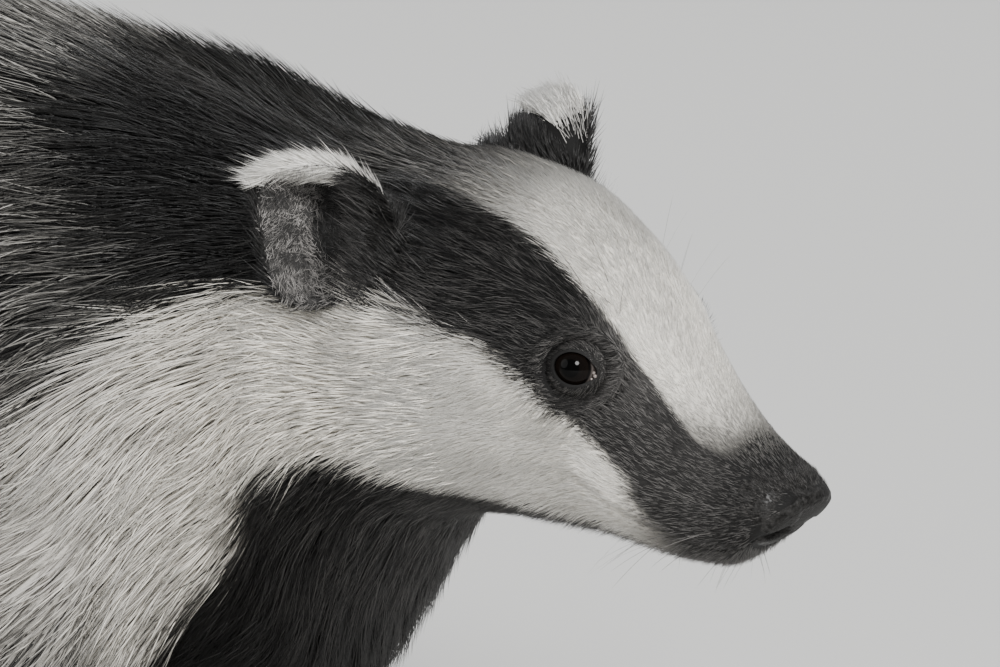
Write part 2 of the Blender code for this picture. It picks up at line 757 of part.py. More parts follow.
def main():
    for obj in list(bpy.data.objects):
        bpy.data.objects.remove(obj)
    pale = material("pale_fur", (0.62, 0.60, 0.56), 0.85)
    grizzled = material("grizzled_fur", (0.30, 0.29, 0.27), 0.85)
    dark = material("dark_fur", (0.03, 0.028, 0.026), 0.85)
    wet = material("nose_skin", (0.02, 0.018, 0.018), 0.35)
    shine = material("eye", (0.01, 0.008, 0.006), 0.05)

    head, jaw = make_head_and_jaw(pale)
    make_eyes(shine)
    make_nose(wet)
    neck_end = HEAD_ENDS_ALONG + NECK_LENGTH
    neck = new_object("neck", tube(HEAD_ENDS_ALONG + GAP, neck_end, 7, 24, core_inset), grizzled)
    torso = new_object("torso", tube(neck_end + GAP, ALONG[-1], 17, 22, core_inset), grizzled)

    ears = [make_ear(name, side, [head, neck], dark) for name, side in SIDES.items()]
    legs = []
    for name, side in SIDES.items():
        legs.append(make_leg("foreleg_" + name, FORELEG, side, [neck, torso], dark))
        legs.append(make_leg("hindleg_" + name, HINDLEG, side, [torso], dark))
        make_paw("forepaw_" + name, FOREPAW, FORE_TOES, side, FORELEG[-1][1] * MM, dark)
        make_paw("hindpaw_" + name, HINDPAW, HIND_TOES, side, HINDLEG[-1][1] * MM, dark)

    rings = [[tail_point(k / 7, 2 * math.pi * j / 12) for j in range(12)] for k in range(8)]
    tail = new_object("tail", loft(rings), pale)
    boolean(tail, "DIFFERENCE", grown(torso, ROOM))

    places = rows(HEAD_ENDS_ALONG + 14 * MM, neck_end - 40 * MM, NECK_ROWS, NECK_LOCK.width, body_girth)
    add_locks(neck, places, body_lock, NECK_LOCK, [head, torso, *ears, *legs])
    places = rows(neck_end + 16 * MM, ALONG[-1] - 50 * MM, TORSO_ROWS, TORSO_LOCK.width, body_girth)
    add_locks(torso, places, body_lock, TORSO_LOCK, [neck, tail, *legs])
    places = rows(0.26, 0.74, TAIL_ROWS, TAIL_LOCK.width, tail_girth)
    add_locks(tail, places, tail_lock, TAIL_LOCK, [torso, *legs])

    objects = list(bpy.context.scene.objects)
    corners = [v.co for obj in objects for v in obj.data.vertices]
    shift = Vector([-(min(c[i] for c in corners) + max(c[i] for c in corners)) / 2 for i in (0, 1)] + [0])
    for obj in objects:
        obj.data.transform(Matrix.Translation(shift))
        finish_mesh(obj)


main()
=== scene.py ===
# %% [markdown]
# A badger's looks come from three layers: bare parts such as the eyes, the nose pad and the claws, a skin
# that carries the form of the body, and a coat of many thousands of hairs. The solids loaded here give the
# size and the place of everything. The skin could be sculpted by hand, but the animal is one tube with legs,
# so it is described by a short table of cross-sections instead, and everything else is set on that surface.

# %% Load the frame
import math
from collections import namedtuple

import bmesh
import bpy
import numpy as np
from mathutils import Matrix, Vector
from mathutils.bvhtree import BVHTree


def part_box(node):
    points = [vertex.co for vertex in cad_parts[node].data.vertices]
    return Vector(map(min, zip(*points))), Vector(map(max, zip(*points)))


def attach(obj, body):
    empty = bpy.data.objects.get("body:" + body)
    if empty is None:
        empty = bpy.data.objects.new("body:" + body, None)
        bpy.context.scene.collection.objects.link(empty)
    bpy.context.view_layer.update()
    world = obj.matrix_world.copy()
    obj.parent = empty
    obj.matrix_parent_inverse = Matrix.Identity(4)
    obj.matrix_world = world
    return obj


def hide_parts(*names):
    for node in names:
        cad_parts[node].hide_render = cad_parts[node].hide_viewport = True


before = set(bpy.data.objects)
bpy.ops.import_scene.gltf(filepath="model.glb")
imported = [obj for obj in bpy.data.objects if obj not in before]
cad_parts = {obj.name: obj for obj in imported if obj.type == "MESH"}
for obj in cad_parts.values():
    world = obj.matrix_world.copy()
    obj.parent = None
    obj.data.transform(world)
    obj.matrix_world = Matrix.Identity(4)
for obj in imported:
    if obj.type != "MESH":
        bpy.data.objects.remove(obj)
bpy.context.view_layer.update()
MM = 0.001
rng = np.random.default_rng(7)
FLESH = [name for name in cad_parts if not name.startswith(("eye_", "nose"))]
SIDES = {"right": -1, "left": 1}

# %% [markdown]
# The point midway between the eyes is the head's own centre, and the head turns 3 degrees to its right.
# The whole animal was moved so that the middle of its box is at the origin, so the shift is read back from
# the place of one eye. Everything below is given in millimetres from natural points of the body.

# %% Where things are
HEAD_TURN = math.radians(3)
EYE_SIDE = 22.6 * MM
EYE_BACK = 2.2 * MM
EYE_RADIUS = 6.4 * MM
cos_turn, sin_turn = math.cos(HEAD_TURN), math.sin(HEAD_TURN)
HEAD_TURNED = np.array([[cos_turn, sin_turn, 0], [-sin_turn, cos_turn, 0], [0, 0, 1]])


def from_head(forward, left, up):
    """World place of a point given from between the eyes, for numbers or arrays."""
    x = EYES[0] + forward * cos_turn + left * sin_turn
    y = EYES[1] - forward * sin_turn + left * cos_turn
    return np.stack(np.broadcast_arrays(x, y, EYES[2] + up), -1)


EYES = np.array([295, -8, 222]) * MM
low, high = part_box("eye_right")
SHIFT = (np.array(low) + np.array(high)) / 2 - from_head(-EYE_BACK, -EYE_SIDE, 0.0)
SHIFT[2] = 0
EYES = EYES + SHIFT
print("The body's own origin lies at", SHIFT.round(4))

# %% [markdown]
# The body is a tube from the nose to the rump. Each section gives how far forward it is, the heights of its
# top, its bottom and its widest level, and half its width, out to the tips of the coat. The head's are
# measured from the eyes, the body's from the floor. A smooth curve runs through each column of the table.

# %% The body's sections
Section = namedtuple("Section", "at top bottom widest half_width")
HEAD_SECTIONS = (
    Section(53, -26.5, -38.5, -32.5, 9.5),
    Section(50, -24.2, -42, -33, 12.3),
    Section(45, -20.5, -45.6, -34, 14.5),
    Section(35, -13, -49.5, -34, 17),
    Section(25, -2.5, -50.5, -31, 19.5),
    Section(15, 11, -50, -27, 22.5),
    Section(6, 22.5, -48.5, -20, 26),
    Section(0, 28.5, -47.5, -14, 28.5),
    Section(-9, 35, -46.5, -13, 33),
    Section(-20, 41, -46, -13, 40.5),
    Section(-33, 44.5, -46, -14, 48.5),
    Section(-47, 46.5, -49, -14, 53.5),
    Section(-62, 47.5, -58, -14, 55.5),
    Section(-71, 48.5, -69, -14, 56.5),
    Section(-80, 50, -83, -14, 58.5),
)
BODY_SECTIONS = (
    Section(198, 275, 110, 206, 64),
    Section(178, 280, 99, 203, 71),
    Section(155, 284, 95, 198, 80),
    Section(125, 288, 94, 192, 89),
    Section(90, 291, 94, 188, 97),
    Section(40, 294, 93, 184, 105),
    Section(-20, 297, 90, 180, 112),
    Section(-90, 299, 88, 178, 119),
    Section(-160, 299, 90, 182, 120),
    Section(-220, 292, 100, 190, 113),
    Section(-270, 274, 120, 196, 96),
    Section(-305, 250, 146, 199, 72),
    Section(-328, 226, 172, 199, 44),
)
rows = []
for s in HEAD_SECTIONS:
    x, y, _ = from_head(s.at * MM, 0.0, 0.0)
    heights = (EYES[2] + h * MM for h in (s.top, s.bottom, s.widest))
    rows.append((x, y, -HEAD_TURN, *heights, s.half_width * MM))
for s in BODY_SECTIONS:
    heights = (h * MM for h in (s.top, s.bottom, s.widest))
    rows.append((s.at * MM + SHIFT[0], SHIFT[1], 0, *heights, s.half_width * MM))
ROWS = np.array(rows)
ALONG = np.concatenate([[0], np.cumsum(np.hypot(*np.diff(ROWS[:, :2], axis=0).T))])
SLOPES = np.gradient(ROWS, ALONG, axis=0)
END = ALONG[-1]
print(f"The body is {END * 1000:.0f} mm from the nose to the rump")

# %% [markdown]
# Four small helpers serve the rest of the lesson. One goes smoothly from 0 to 1 between two values, one
# makes a soft swelling round a value, one gives arrows a length of one, and one mixes two colours or two
# places. Every soft form and every change of colour below is put together from them.

# %% Soft steps, swellings and directions
def smooth_step(value, start, end):
    """0 at the start, 1 at the end, and a soft change between."""
    t = np.clip((value - start) / (end - start), 0, 1)
    return t * t * (3 - 2 * t)


def swell(value, middle, reach):
    """1 at the middle, falling softly to almost nothing at twice the reach on either side."""
    return np.exp(-(((value - middle) / reach) ** 2))


def unit(arrows):
    """Arrows of any length, each made one long."""
    return arrows / np.maximum(np.linalg.norm(arrows, axis=-1, keepdims=True), 1e-12)


def mix(a, b, share):
    """Colours or places from a at a share of 0 to b at a share of 1."""
    return a + (b - a) * np.asarray(share)[..., None]


# %% [markdown]
# A smooth curve through a table is a chain of cubic pieces. Each passes through two neighbouring rows, and
# leaves them with the slope of the table there, so nothing bends sharply. The body's skin, its legs and its
# tail all use the same curve.

# %% The body as a tube
def curve(at, table, slopes, where):
    """Rows of a table between its own, on a smooth curve that passes through them all."""
    i = np.clip(np.searchsorted(at, where) - 1, 0, len(at) - 2)
    step = (at[i + 1] - at[i])[..., None]
    u = (where - at[i])[..., None] / step
    ahead = 3 * u**2 - 2 * u**3
    bend = (u**3 - 2 * u**2 + u) * step * slopes[i] + (u**3 - u**2) * step * slopes[i + 1]
    return (1 - ahead) * table[i] + ahead * table[i + 1] + bend


def section_at(along):
    """The section's columns at distances behind the nose."""
    return curve(ALONG, ROWS, SLOPES, np.clip(along, 0, END))


RUMP_DROOP = 0.5  # hair that runs out past the end of the trunk falls this much for each metre


def tube(along, angle, inset):
    """A point of the body tube. Angle 0 is the top, and it grows towards the animal's left."""
    x, y, turn, top, bottom, widest, half_width = np.moveaxis(section_at(along), -1, 0)
    height = np.where(np.cos(angle) > 0, top - widest, widest - bottom) - inset
    out = (half_width - inset) * np.sin(angle)
    beyond = np.maximum(along - END, 0)
    z = widest + height * np.cos(angle) - RUMP_DROOP * beyond
    return np.stack([x - np.sin(turn) * out - beyond, y + np.cos(turn) * out, z], -1)


def report(what, value):
    """Prints a number that a formula gives at one place."""
    print(what, float(np.round(value, 3)))


report("Height of the middle of the back:", tube(np.array(END / 2), np.array(0.0), 0)[2])

# %% [markdown]
# Fur stands on skin that lies deeper than the outline. On the muzzle the coat is 1 mm deep, on the cheeks
# 6 mm and on the body 13 mm, so one curve of depth against distance from the nose places the skin.

# %% How deep the coat is
DEPTH_AT = np.array([0, 12, 30, 55, 80, 105, 130, 165, 600]) * MM
DEPTH = np.array([0.3, 0.7, 1.0, 1.6, 2.6, 4.5, 8.5, 13, 13]) * MM


def coat_depth(along, angle):
    """How deep the coat is at a place, thinner along the top of the face."""
    thin_top = 1 - 0.35 * np.clip(np.cos(angle), 0, 1) * np.clip(1 - along / (140 * MM), 0, 1)
    return np.interp(along, DEPTH_AT, DEPTH) * thin_top


report("Depth of the coat on the cheek, in mm:", coat_depth(np.array(80 * MM), np.array(1.6)) / MM)

# %% Where the eyes lie on the tube
EYE_ALONG = 53 * MM


def eye_offsets(along, angle):
    """How far a place on the head lies behind its eye and below it."""
    _, _, _, top, bottom, widest, _ = np.moveaxis(section_at(along), -1, 0)
    rise = np.where(np.cos(angle) > 0, top - widest, widest - bottom) * np.cos(angle)
    return along - EYE_ALONG, EYES[2] - widest - rise


def beside_eye(forward, above, side):
    """The distance and angle of the place that lies that far in front of its eye and above it."""
    along = EYE_ALONG - forward
    _, _, _, top, bottom, widest, _ = np.moveaxis(section_at(along), -1, 0)
    rise = EYES[2] + above - widest
    height = np.where(rise > 0, top - widest, widest - bottom)
    return along, side * np.arccos(np.clip(rise / height, -1, 1))


# %% [markdown]
# The small forms of the face are bumps on the skin: a hollow for each eye, a brow over it, a cheekbone
# under it, and the crease between the lips with the soft edge of the upper one.

# %% The small forms of the face
LIP_AT = np.array([8, 15, 28, 50, 56]) * MM
LIP_ANGLE = np.radians([128, 128, 124, 118, 117])


def face_relief(along, angle, hollow=True):
    """How far the small forms of the face stand out of the skin, in metres."""
    around = np.abs(angle)
    back, down = eye_offsets(along, angle)
    brow = swell(back, -1 * MM, 11 * MM) * swell(down, -9.5 * MM, 4.5 * MM)
    cheekbone = swell(back, 2 * MM, 12 * MM) * swell(down, 13 * MM, 5 * MM)
    relief = 1.6 * MM * brow + 0.8 * MM * cheekbone
    if hollow:
        reach = np.hypot(back / 1.1, down)
        relief -= 6 * MM * np.exp(-((reach / (8.6 * MM)) ** 6))
    lip = (around - np.interp(along, LIP_AT, LIP_ANGLE)) * 22 * MM
    part = np.clip((58 * MM - along) / (6 * MM), 0, 1) * np.clip((along - 6 * MM) / (3 * MM), 0, 1)
    edge, crease = 0.7 * MM * swell(lip, -2.4 * MM, 1.8 * MM), 1.3 * MM * swell(lip, 0, 0.8 * MM)
    return relief + part * (edge - crease)


# %% [markdown]
# The nose pad is a piece of its own, set on the end of the muzzle and facing forward and down. The muzzle
# is pressed back behind it, so that the two meet without the skin showing through.

# %% The seat of the nose pad
NOSE_FRONT = (48.9 * MM, -36.4 * MM)
NOSE_FACING = math.radians(-46)


def nose_point(depth, across, up):
    """A point in the nose pad's own directions, from the middle of its front."""
    ahead, rise = math.cos(NOSE_FACING), math.sin(NOSE_FACING)
    forward = NOSE_FRONT[0] - ahead * depth - rise * up
    return from_head(forward, across, NOSE_FRONT[1] - rise * depth + ahead * up)


PAD_FRONT = nose_point(0, 0, 0)
PAD_FACING = (PAD_FRONT - nose_point(1 * MM, 0, 0)) / MM
PAD_RISING = (nose_point(0, 0, 1 * MM) - PAD_FRONT) / MM
PAD_SEAT = 3.5 * MM  # how far behind the pad's front the muzzle starts to be pressed back
PRESSED_DEPTH = 2.5 * MM


def behind_pad(points):
    """Presses the front of the muzzle back so that the nose pad covers it."""
    reach = (points - PAD_FRONT) @ PAD_FACING + PAD_SEAT
    pressed = PRESSED_DEPTH * (1 - np.exp(-np.maximum(reach, 0) / PRESSED_DEPTH))
    return points + PAD_FACING * (np.where(reach > 0, pressed, reach) - reach)[..., None]


# %% The skin's surface
def skin(along, angle, hollow=True):
    """A point of the skin, under the coat and with the face's small forms."""
    inset = coat_depth(along, angle) - face_relief(along, angle, hollow)
    return behind_pad(tube(along, angle, inset))


report("Depth of the coat beside the eye, in mm:", coat_depth(np.array(EYE_ALONG), np.array(1.2)) / MM)

# %% [markdown]
# Colours are written as the hex values a colour picker shows, and Blender's shaders want linear numbers, so
# one function turns them. Another adds a shader node with its settings and links in one call, which keeps
# each material short enough to read.

# %% Helpers for materials
MULTIPLY = {"data_type": "RGBA", "blend_type": "MULTIPLY", 0: 1.0}  # one colour dims another


def linear(code):
    """An sRGB hex colour as linear RGBA."""
    parts = [int(code[i : i + 2], 16) / 255 for i in (1, 3, 5)]
    return (*(p / 12.92 if p <= 0.04045 else ((p + 0.055) / 1.055) ** 2.4 for p in parts), 1.0)


def new_material(name):
    """A new material, named for the real stuff, and its shader."""
    m = bpy.data.materials.new(name)
    m.use_nodes = True
    return m, m.node_tree.nodes["Principled BSDF"]


def add_node(m, kind, settings=None, links=None):
    """Adds a node: settings are sockets or properties to set, and links are sockets to join."""
    n = m.node_tree.nodes.new("ShaderNode" + kind)
    for key, value in (settings or {}).items():
        if isinstance(key, int) or key in n.inputs:
            n.inputs[key].default_value = value
        else:
            setattr(n, key, value)
    for key, source in (links or {}).items():
        m.node_tree.links.new(source, n.inputs[key])
    return n


# %% [markdown]
# Hair is keratin: a smooth, horny thread with a soft shine, and its colour is laid down as it grows. The
# colour of each hair is stored on its points when it is made, pale or dark along its length, and the
# material only reads it, with a little noise so that no two hairs shine alike.

# %% Hair and skin materials
def hair_material():
    """Keratin: the colour stored on each hair, with a soft shine along it."""
    m, shader = new_material("badger_guard_hair")
    coat = add_node(m, "Attribute", {"attribute_name": "Coat"})
    place = add_node(m, "TexCoord")
    grain = add_node(m, "TexNoise", {"Scale": 900, "Detail": 2}, {"Vector": place.outputs["Object"]})
    shade = add_node(m, "MapRange", {"To Min": 0.82, "To Max": 1.18}, {"Value": grain.outputs["Fac"]})
    tint = add_node(m, "Mix", MULTIPLY, {6: coat.outputs["Color"], 7: shade.outputs["Result"]})
    m.node_tree.links.new(tint.outputs[2], shader.inputs["Base Color"])
    shader.inputs["Roughness"].default_value = 0.46
    shader.inputs["IOR"].default_value = 1.55
    shader.inputs["Specular IOR Level"].default_value = 0.28
    return m


def skin_material():
    """Skin under short fur: the coat's own colour, broken by fine strokes of hair that lie back."""
    m, shader = new_material("furred_skin")
    coat = add_node(m, "Attribute", {"attribute_name": "Coat"})
    place = add_node(m, "TexCoord")
    laid = add_node(m, "Mapping", {"Scale": (260, 1500, 1500)}, {"Vector": place.outputs["Object"]})
    fine = {"Scale": 1.0, "Detail": 4, "Roughness": 0.6}  # strokes about 4 mm long and 0.7 mm wide
    strokes = add_node(m, "TexNoise", fine, {"Vector": laid.outputs["Vector"]})
    shade = add_node(m, "MapRange", {"To Min": 0.55, "To Max": 1.15}, {"Value": strokes.outputs["Fac"]})
    tint = add_node(m, "Mix", MULTIPLY, {6: coat.outputs["Color"], 7: shade.outputs["Result"]})
    bump = add_node(m, "Bump", {"Strength": 0.6, "Distance": 0.0006}, {"Height": strokes.outputs["Fac"]})
    m.node_tree.links.new(tint.outputs[2], shader.inputs["Base Color"])
    m.node_tree.links.new(bump.outputs["Normal"], shader.inputs["Normal"])
    shader.inputs["Roughness"].default_value = 0.75
    shader.inputs["Specular IOR Level"].default_value = 0.2
    return m


HAIR = hair_material()
SKIN = skin_material()
print("Materials:", HAIR.name, SKIN.name)

# %% [markdown]
# A badger's mask is the same on both sides, so its edges are curves of angle down from the top of the head
# against distance behind the nose. The blaze runs up the middle, the black stripe passes through the eye
# and the ear, a white cheek runs on down the side of the neck, and the throat, chest and belly are black.

# %% The mask
WHITE, CREAM, BLACK = (np.array(linear(c)[:3]) for c in ("#faf7f0", "#e4ded2", "#0d0c0b"))
SOOT, GREY, SILVER = (np.array(linear(c)[:3]) for c in ("#2d2c2b", "#787572", "#d9d5cd"))
BLAZE_AT = np.array([13, 25, 38, 45, 54, 63, 74, 90, 103, 130, 170]) * MM
BLAZE_EDGE = np.radians([40, 52, 47, 46, 43, 36, 28, 23, 20, 16, 10])
CHEEK_AT = np.array([41, 48, 58, 64, 73, 85, 98, 125, 144, 154, 165, 174, 185, 198, 230, 300, 600]) * MM
CHEEK_TOP = np.radians([93, 90, 87, 79, 70, 64, 61, 60, 59, 64, 71, 77, 82, 86, 94, 110, 140])
THROAT_AT = np.array([41, 52, 67, 77, 87, 103, 126, 137, 157, 175, 200, 260, 600]) * MM
THROAT_TOP = np.radians([150, 150, 142, 132, 124, 107, 101, 114, 121, 130, 134, 136, 150])
EDGE = 0.02  # half the width of the mask's edges, in radians


def mask(along, around):
    """How white the coat is, how grizzled, and how far inside the blaze a place is, from 0 to 1."""
    in_blaze = smooth_step(np.interp(along, BLAZE_AT, BLAZE_EDGE) - around, -EDGE, EDGE)
    in_blaze *= smooth_step(along - (13 + 12 * (around / math.radians(50)) ** 2) * MM, -9 * MM, 16 * MM)
    softer = EDGE + 0.09 * smooth_step(along, 150 * MM, 230 * MM)
    in_cheek = smooth_step((around - np.interp(along, CHEEK_AT, CHEEK_TOP)) / softer, -1, 1)
    low = smooth_step(around, math.radians(100), math.radians(125))
    in_cheek *= smooth_step(along, (39.5 - 12 * low) * MM, (42.5 + 4 * low) * MM)
    below = smooth_step(around - np.interp(along, THROAT_AT, THROAT_TOP), -0.05, 0.05)
    later = 34 * MM * smooth_step(-around, -1.0, -0.45)
    back = smooth_step(along - later, 146 * MM, 196 * MM) * (1 - in_cheek)
    nape = smooth_step(along, 66 * MM, 100 * MM) * smooth_step(-around, -0.75, -0.3)
    white = np.maximum(in_blaze * (1 - 0.98 * nape), in_cheek * (1 - below))
    fade = smooth_step(along, 172 * MM, 255 * MM)
    streak = 0.75 * in_blaze * nape * (1 - smooth_step(along, 104 * MM, 132 * MM))
    grizzle = np.clip(np.maximum(back, streak) + fade * (1 - below), 0, 1)
    return white * (1 - 0.85 * fade), grizzle, in_blaze


report("White between the eyes:", mask(np.array(EYE_ALONG), np.array(0.0))[0])
report("White at the eye itself:", mask(np.array(EYE_ALONG), np.array(1.2))[0])

# %% [markdown]
# Over the back each hair is pale at its base, dark near the end and pale at the tip, which reads as grey.
# On the muzzle grey hairs are scattered among black ones. So a hair's three colours come from the place of
# its root and from a draw between 0 and 1 that decides how pale it may be.

# %% The coat's colours
def coat_colours(along, angle, luck):
    """Colours of a hair's root, middle and tip, for arrays of places and of a draw from 0 to 1."""
    around = np.abs(angle)
    white, grizzle, in_blaze = mask(along, around)
    dark = 1 - white
    black = np.broadcast_to(BLACK, (*along.shape, 3))
    # Roots darker than the middle, most under the long white coat: painted shade down among the hairs.
    root, middle = mix(black * 0.8, CREAM * 0.66, white), mix(black, CREAM, white)
    tip = mix(mix(black, SOOT, luck), WHITE, white)

    long_coat = smooth_step(along, 120 * MM, 190 * MM) * white
    root = mix(root, GREY * 0.5, 0.8 * long_coat)
    middle = mix(middle, GREY * 1.2, long_coat * smooth_step(luck, 0.45, 0.85))

    gritty = grizzle * (0.5 + 0.5 * smooth_step(along, 170 * MM, 250 * MM)) * dark
    root = mix(root, GREY, 0.7 * gritty * smooth_step(along, 190 * MM, 300 * MM))
    tip = mix(tip, SILVER, gritty * smooth_step(luck, 0.35, 0.75))
    middle = mix(middle, SILVER, 0.7 * gritty * smooth_step(luck, 0.6, 0.8))

    muzzle = (1 - smooth_step(along, 34 * MM, 62 * MM)) * (1 - 0.6 * in_blaze)
    speckle = muzzle * (0.15 + 0.85 * smooth_step(luck, 0.4, 0.95)) * dark
    root, middle = mix(root, SOOT * 1.9, speckle**2), mix(middle, SOOT * 1.5, speckle)
    tip = mix(tip, GREY * 1.5, speckle)

    fleck = dark * (1 - smooth_step(along, 95 * MM, 150 * MM)) * smooth_step(luck, 0.6, 0.95)
    middle, tip = mix(middle, SOOT, fleck * 0.6), mix(tip, GREY, fleck * 0.7)

    behind_eye, below_eye = eye_offsets(along, angle)
    # Painted sheen: grey hair in front of and above the eye stands in for light on the dark fur.
    painted_sheen = swell(behind_eye, -11 * MM, 9 * MM) * swell(below_eye, -2 * MM, 10 * MM) * dark
    middle = mix(middle, GREY * 0.7, painted_sheen * (0.1 + 0.6 * luck**2))
    tip = mix(tip, GREY * 1.4, painted_sheen * (0.1 + 0.8 * luck))
    shade = (1.05 + 0.1 * luck - 0.42 * (1 - luck) ** 2)[..., None]
    return root * shade, middle * shade, tip * shade


# %% [markdown]
# The skin of the trunk and head starts as a flat grid that is wrapped round the tube: its columns become
# angles and its rows distances, close together on the face and wider apart on the body. The edges that
# meet under the belly are merged, and the two ends are filled, which makes it a closed solid.

# %% The trunk's skin
AROUND, RINGS, FINE_RINGS = 150, 178, 112
FINE_END = 150 * MM


WELD = 1e-7  # points closer than this, in metres, become one


def shaped_grid(columns, ring_count, shape):
    """A grid laid out by shape(v from 0 to 1, angle), with the edges that meet welded."""
    bm = bmesh.new()
    bmesh.ops.create_grid(bm, x_segments=columns, y_segments=ring_count, size=1)
    grid = np.array([v.co for v in bm.verts])
    places = shape((grid[:, 1] + 1) / 2, grid[:, 0] * math.pi)
    for v, place in zip(bm.verts, places):
        v.co = place
    bmesh.ops.remove_doubles(bm, verts=bm.verts, dist=WELD)
    return bm


def wrap_grid(name, columns, ring_count, shape):
    """A shaped grid with its two ends filled, which makes it a closed solid."""
    bm = shaped_grid(columns, ring_count, shape)
    bmesh.ops.holes_fill(bm, edges=[e for e in bm.edges if e.is_boundary])
    bmesh.ops.triangulate(bm, faces=[f for f in bm.faces if len(f.verts) > 4])
    bmesh.ops.recalc_face_normals(bm, faces=bm.faces)
    return to_object(name, bm)


def to_object(name, bm, finish=None):
    """Ends the work on a form and puts it in the scene, with its material if it has one."""
    mesh = bpy.data.meshes.new(name)
    bm.to_mesh(mesh)
    bm.free()
    obj = bpy.data.objects.new(name, mesh)
    bpy.context.scene.collection.objects.link(obj)
    if finish:
        mesh.materials.append(finish)
    mesh.shade_smooth()
    return obj


def trunk_along(v):
    """The distance behind the nose of a row of the grid, closer together over the head."""
    fine = FINE_RINGS / RINGS
    return np.where(v < fine, v / fine * FINE_END, FINE_END + (v - fine) / (1 - fine) * (END - FINE_END))


trunk = wrap_grid("trunk", AROUND, RINGS, lambda v, a: skin(trunk_along(v), a))
print("trunk", len(trunk.data.vertices), "points")

# %% [markdown]
# Legs, paws, toes and tail are tubes of level ovals, as the solids are, drawn in by the depth of their short
# coat. Each is a wrapped grid too, with its rings eased through a few named ovals. The foot is plantigrade,
# so the sole is flat and the toes lie side by side in front of it.

# %% Tables for the legs and the tail
LEG_COAT = 3.5 * MM
PAW_COAT = 1.2 * MM
PAW_TOP = 34 * MM  # the height where the paw's short hair begins
# Each row: forward, sideways and up, then half the length and half the width, in mm.
FORELEG = (
    (134, 52, 196, 34, 20),
    (132, 62, 170, 42, 28),
    (128, 72, 142, 41, 28),
    (122, 78, 112, 35, 26),
    (120, 80, 84, 27, 23),
    (127, 79, 58, 22, 21),
    (134, 78, 40, 20.5, 21.5),
    (137, 78, 29, 21, 22.5),
    (141, 78, 18, 26, 25.5),
    (146, 78, 8, 30, 27),
    (147, 78, 0.2, 28, 25),
)
HINDLEG = (
    (-238, 52, 208, 42, 22),
    (-230, 68, 172, 55, 34),
    (-224, 80, 136, 52, 34),
    (-236, 85, 104, 40, 28),
    (-260, 85, 76, 28, 23),
    (-274, 84, 52, 23, 20.5),
    (-275, 83, 36, 23, 21.5),
    (-268, 83, 20, 32, 23),
    (-260, 83, 9, 38, 24),
    (-259, 83, 0.2, 36, 22),
)
# Each row: forward, up, and the radius, in mm.
TAIL = ((-296, 226, 17), (-330, 214, 19), (-360, 194, 19), (-388, 168, 16), (-410, 142, 11), (-424, 122, 5))
TAIL_COAT = 9 * MM


# %% Legs, paws and tail
def eased(table, v):
    """Rows of a table in millimetres at shares v from 0 to 1 down it, on a smooth curve."""
    table = np.array(table, float) * MM
    at = np.linspace(0, 1, len(table))
    return curve(at, table, np.gradient(table, at, axis=0), v)


def leg_surface(table, side):
    """The skin of a leg: share down it from 0 to 1, and an angle round it from the front."""

    def surface(v, angle):
        x, y, z, length, width = np.moveaxis(eased(table, np.clip(v, 0, 1)), -1, 0)
        coat = np.where(z < PAW_TOP, PAW_COAT, LEG_COAT)
        c, s = np.cos(angle), np.sin(angle)
        x = x + (length - coat) * np.sign(c) * np.abs(c) ** 0.9 + SHIFT[0]
        y = side * (y + (width - coat) * np.sign(s) * np.abs(s) ** 0.9) + SHIFT[1]
        return np.stack([x, y, np.maximum(z, 0.2 * MM)], -1)

    return surface


def tail_surface(v, angle):
    """The skin of the tail, a share v down it. Beyond 1 it runs straight on, for the hair's tips."""
    x, z, radius = np.moveaxis(eased(TAIL, np.clip(v, 0, 1)), -1, 0)
    step = eased(TAIL, np.clip(v + 0.03, 0, 1)) - eased(TAIL, np.clip(v - 0.03, 0, 0.97))
    size = np.hypot(step[..., 0], step[..., 1])
    dx, dz = step[..., 0] / size, step[..., 1] / size
    radius = np.maximum(radius - TAIL_COAT * np.clip(radius / (17 * MM), 0, 1), 2 * MM)
    rise, across = radius * np.cos(angle), radius * np.sin(angle) * 1.1
    beyond = np.maximum(v - 1, 0) * 150 * MM
    x = x + SHIFT[0] + dx * beyond + dz * rise
    return np.stack([x, across + SHIFT[1], z + dz * beyond - dx * rise], -1)


legs = {}
for name, side in SIDES.items():
    for kind, table in (("foreleg", FORELEG), ("hindleg", HINDLEG)):
        legs[f"{kind}_{name}"] = wrap_grid(f"{kind}_skin", 36, 44, leg_surface(table, side))
tail = wrap_grid("tail_skin", 24, 30, tail_surface)
print("limbs", sorted(legs), "and a tail of", len(tail.data.vertices), "points")

# %% [markdown]
# A badger walks on five toes to a foot, close together, each with a strong claw. A toe and its claw are one
# line of points with a radius at each, and a ring is extruded from point to point, as one would draw out
# clay. The toes fan out a little, and the outer ones are shorter.

# %% The lines of toes and claws
Toes = namedtuple("Toes", "front spread length radius claw")
FORE_TOES = Toes(170 * MM, 11 * MM, 19 * MM, 6.8 * MM, 27 * MM)
HIND_TOES = Toes(-227 * MM, 9.8 * MM, 16 * MM, 6.2 * MM, 17 * MM)
TOE_COUNT = 5


def taper(bm, stops, sides):
    """Adds a closed round form through (point, radius) stops, each ring extruded from the last."""
    points = [Vector(p) for p, _ in stops]
    last = None
    for k, (_, radius) in enumerate(stops):
        heading = (points[min(k + 1, len(points) - 1)] - points[max(k - 1, 0)]).normalized()
        turn = heading.to_track_quat("Z", "Y").to_matrix().to_4x4()
        place = Matrix.Translation(points[k]) @ turn
        capped = k in (0, len(stops) - 1)
        ring = bmesh.ops.create_circle(bm, cap_ends=capped, segments=sides, radius=radius, matrix=place)
        around = set(ring["verts"])
        edges = [e for e in {e for v in ring["verts"] for e in v.link_edges} if around.issuperset(e.verts)]
        if last:
            bmesh.ops.bridge_loops(bm, edges=last + edges)
        last = edges


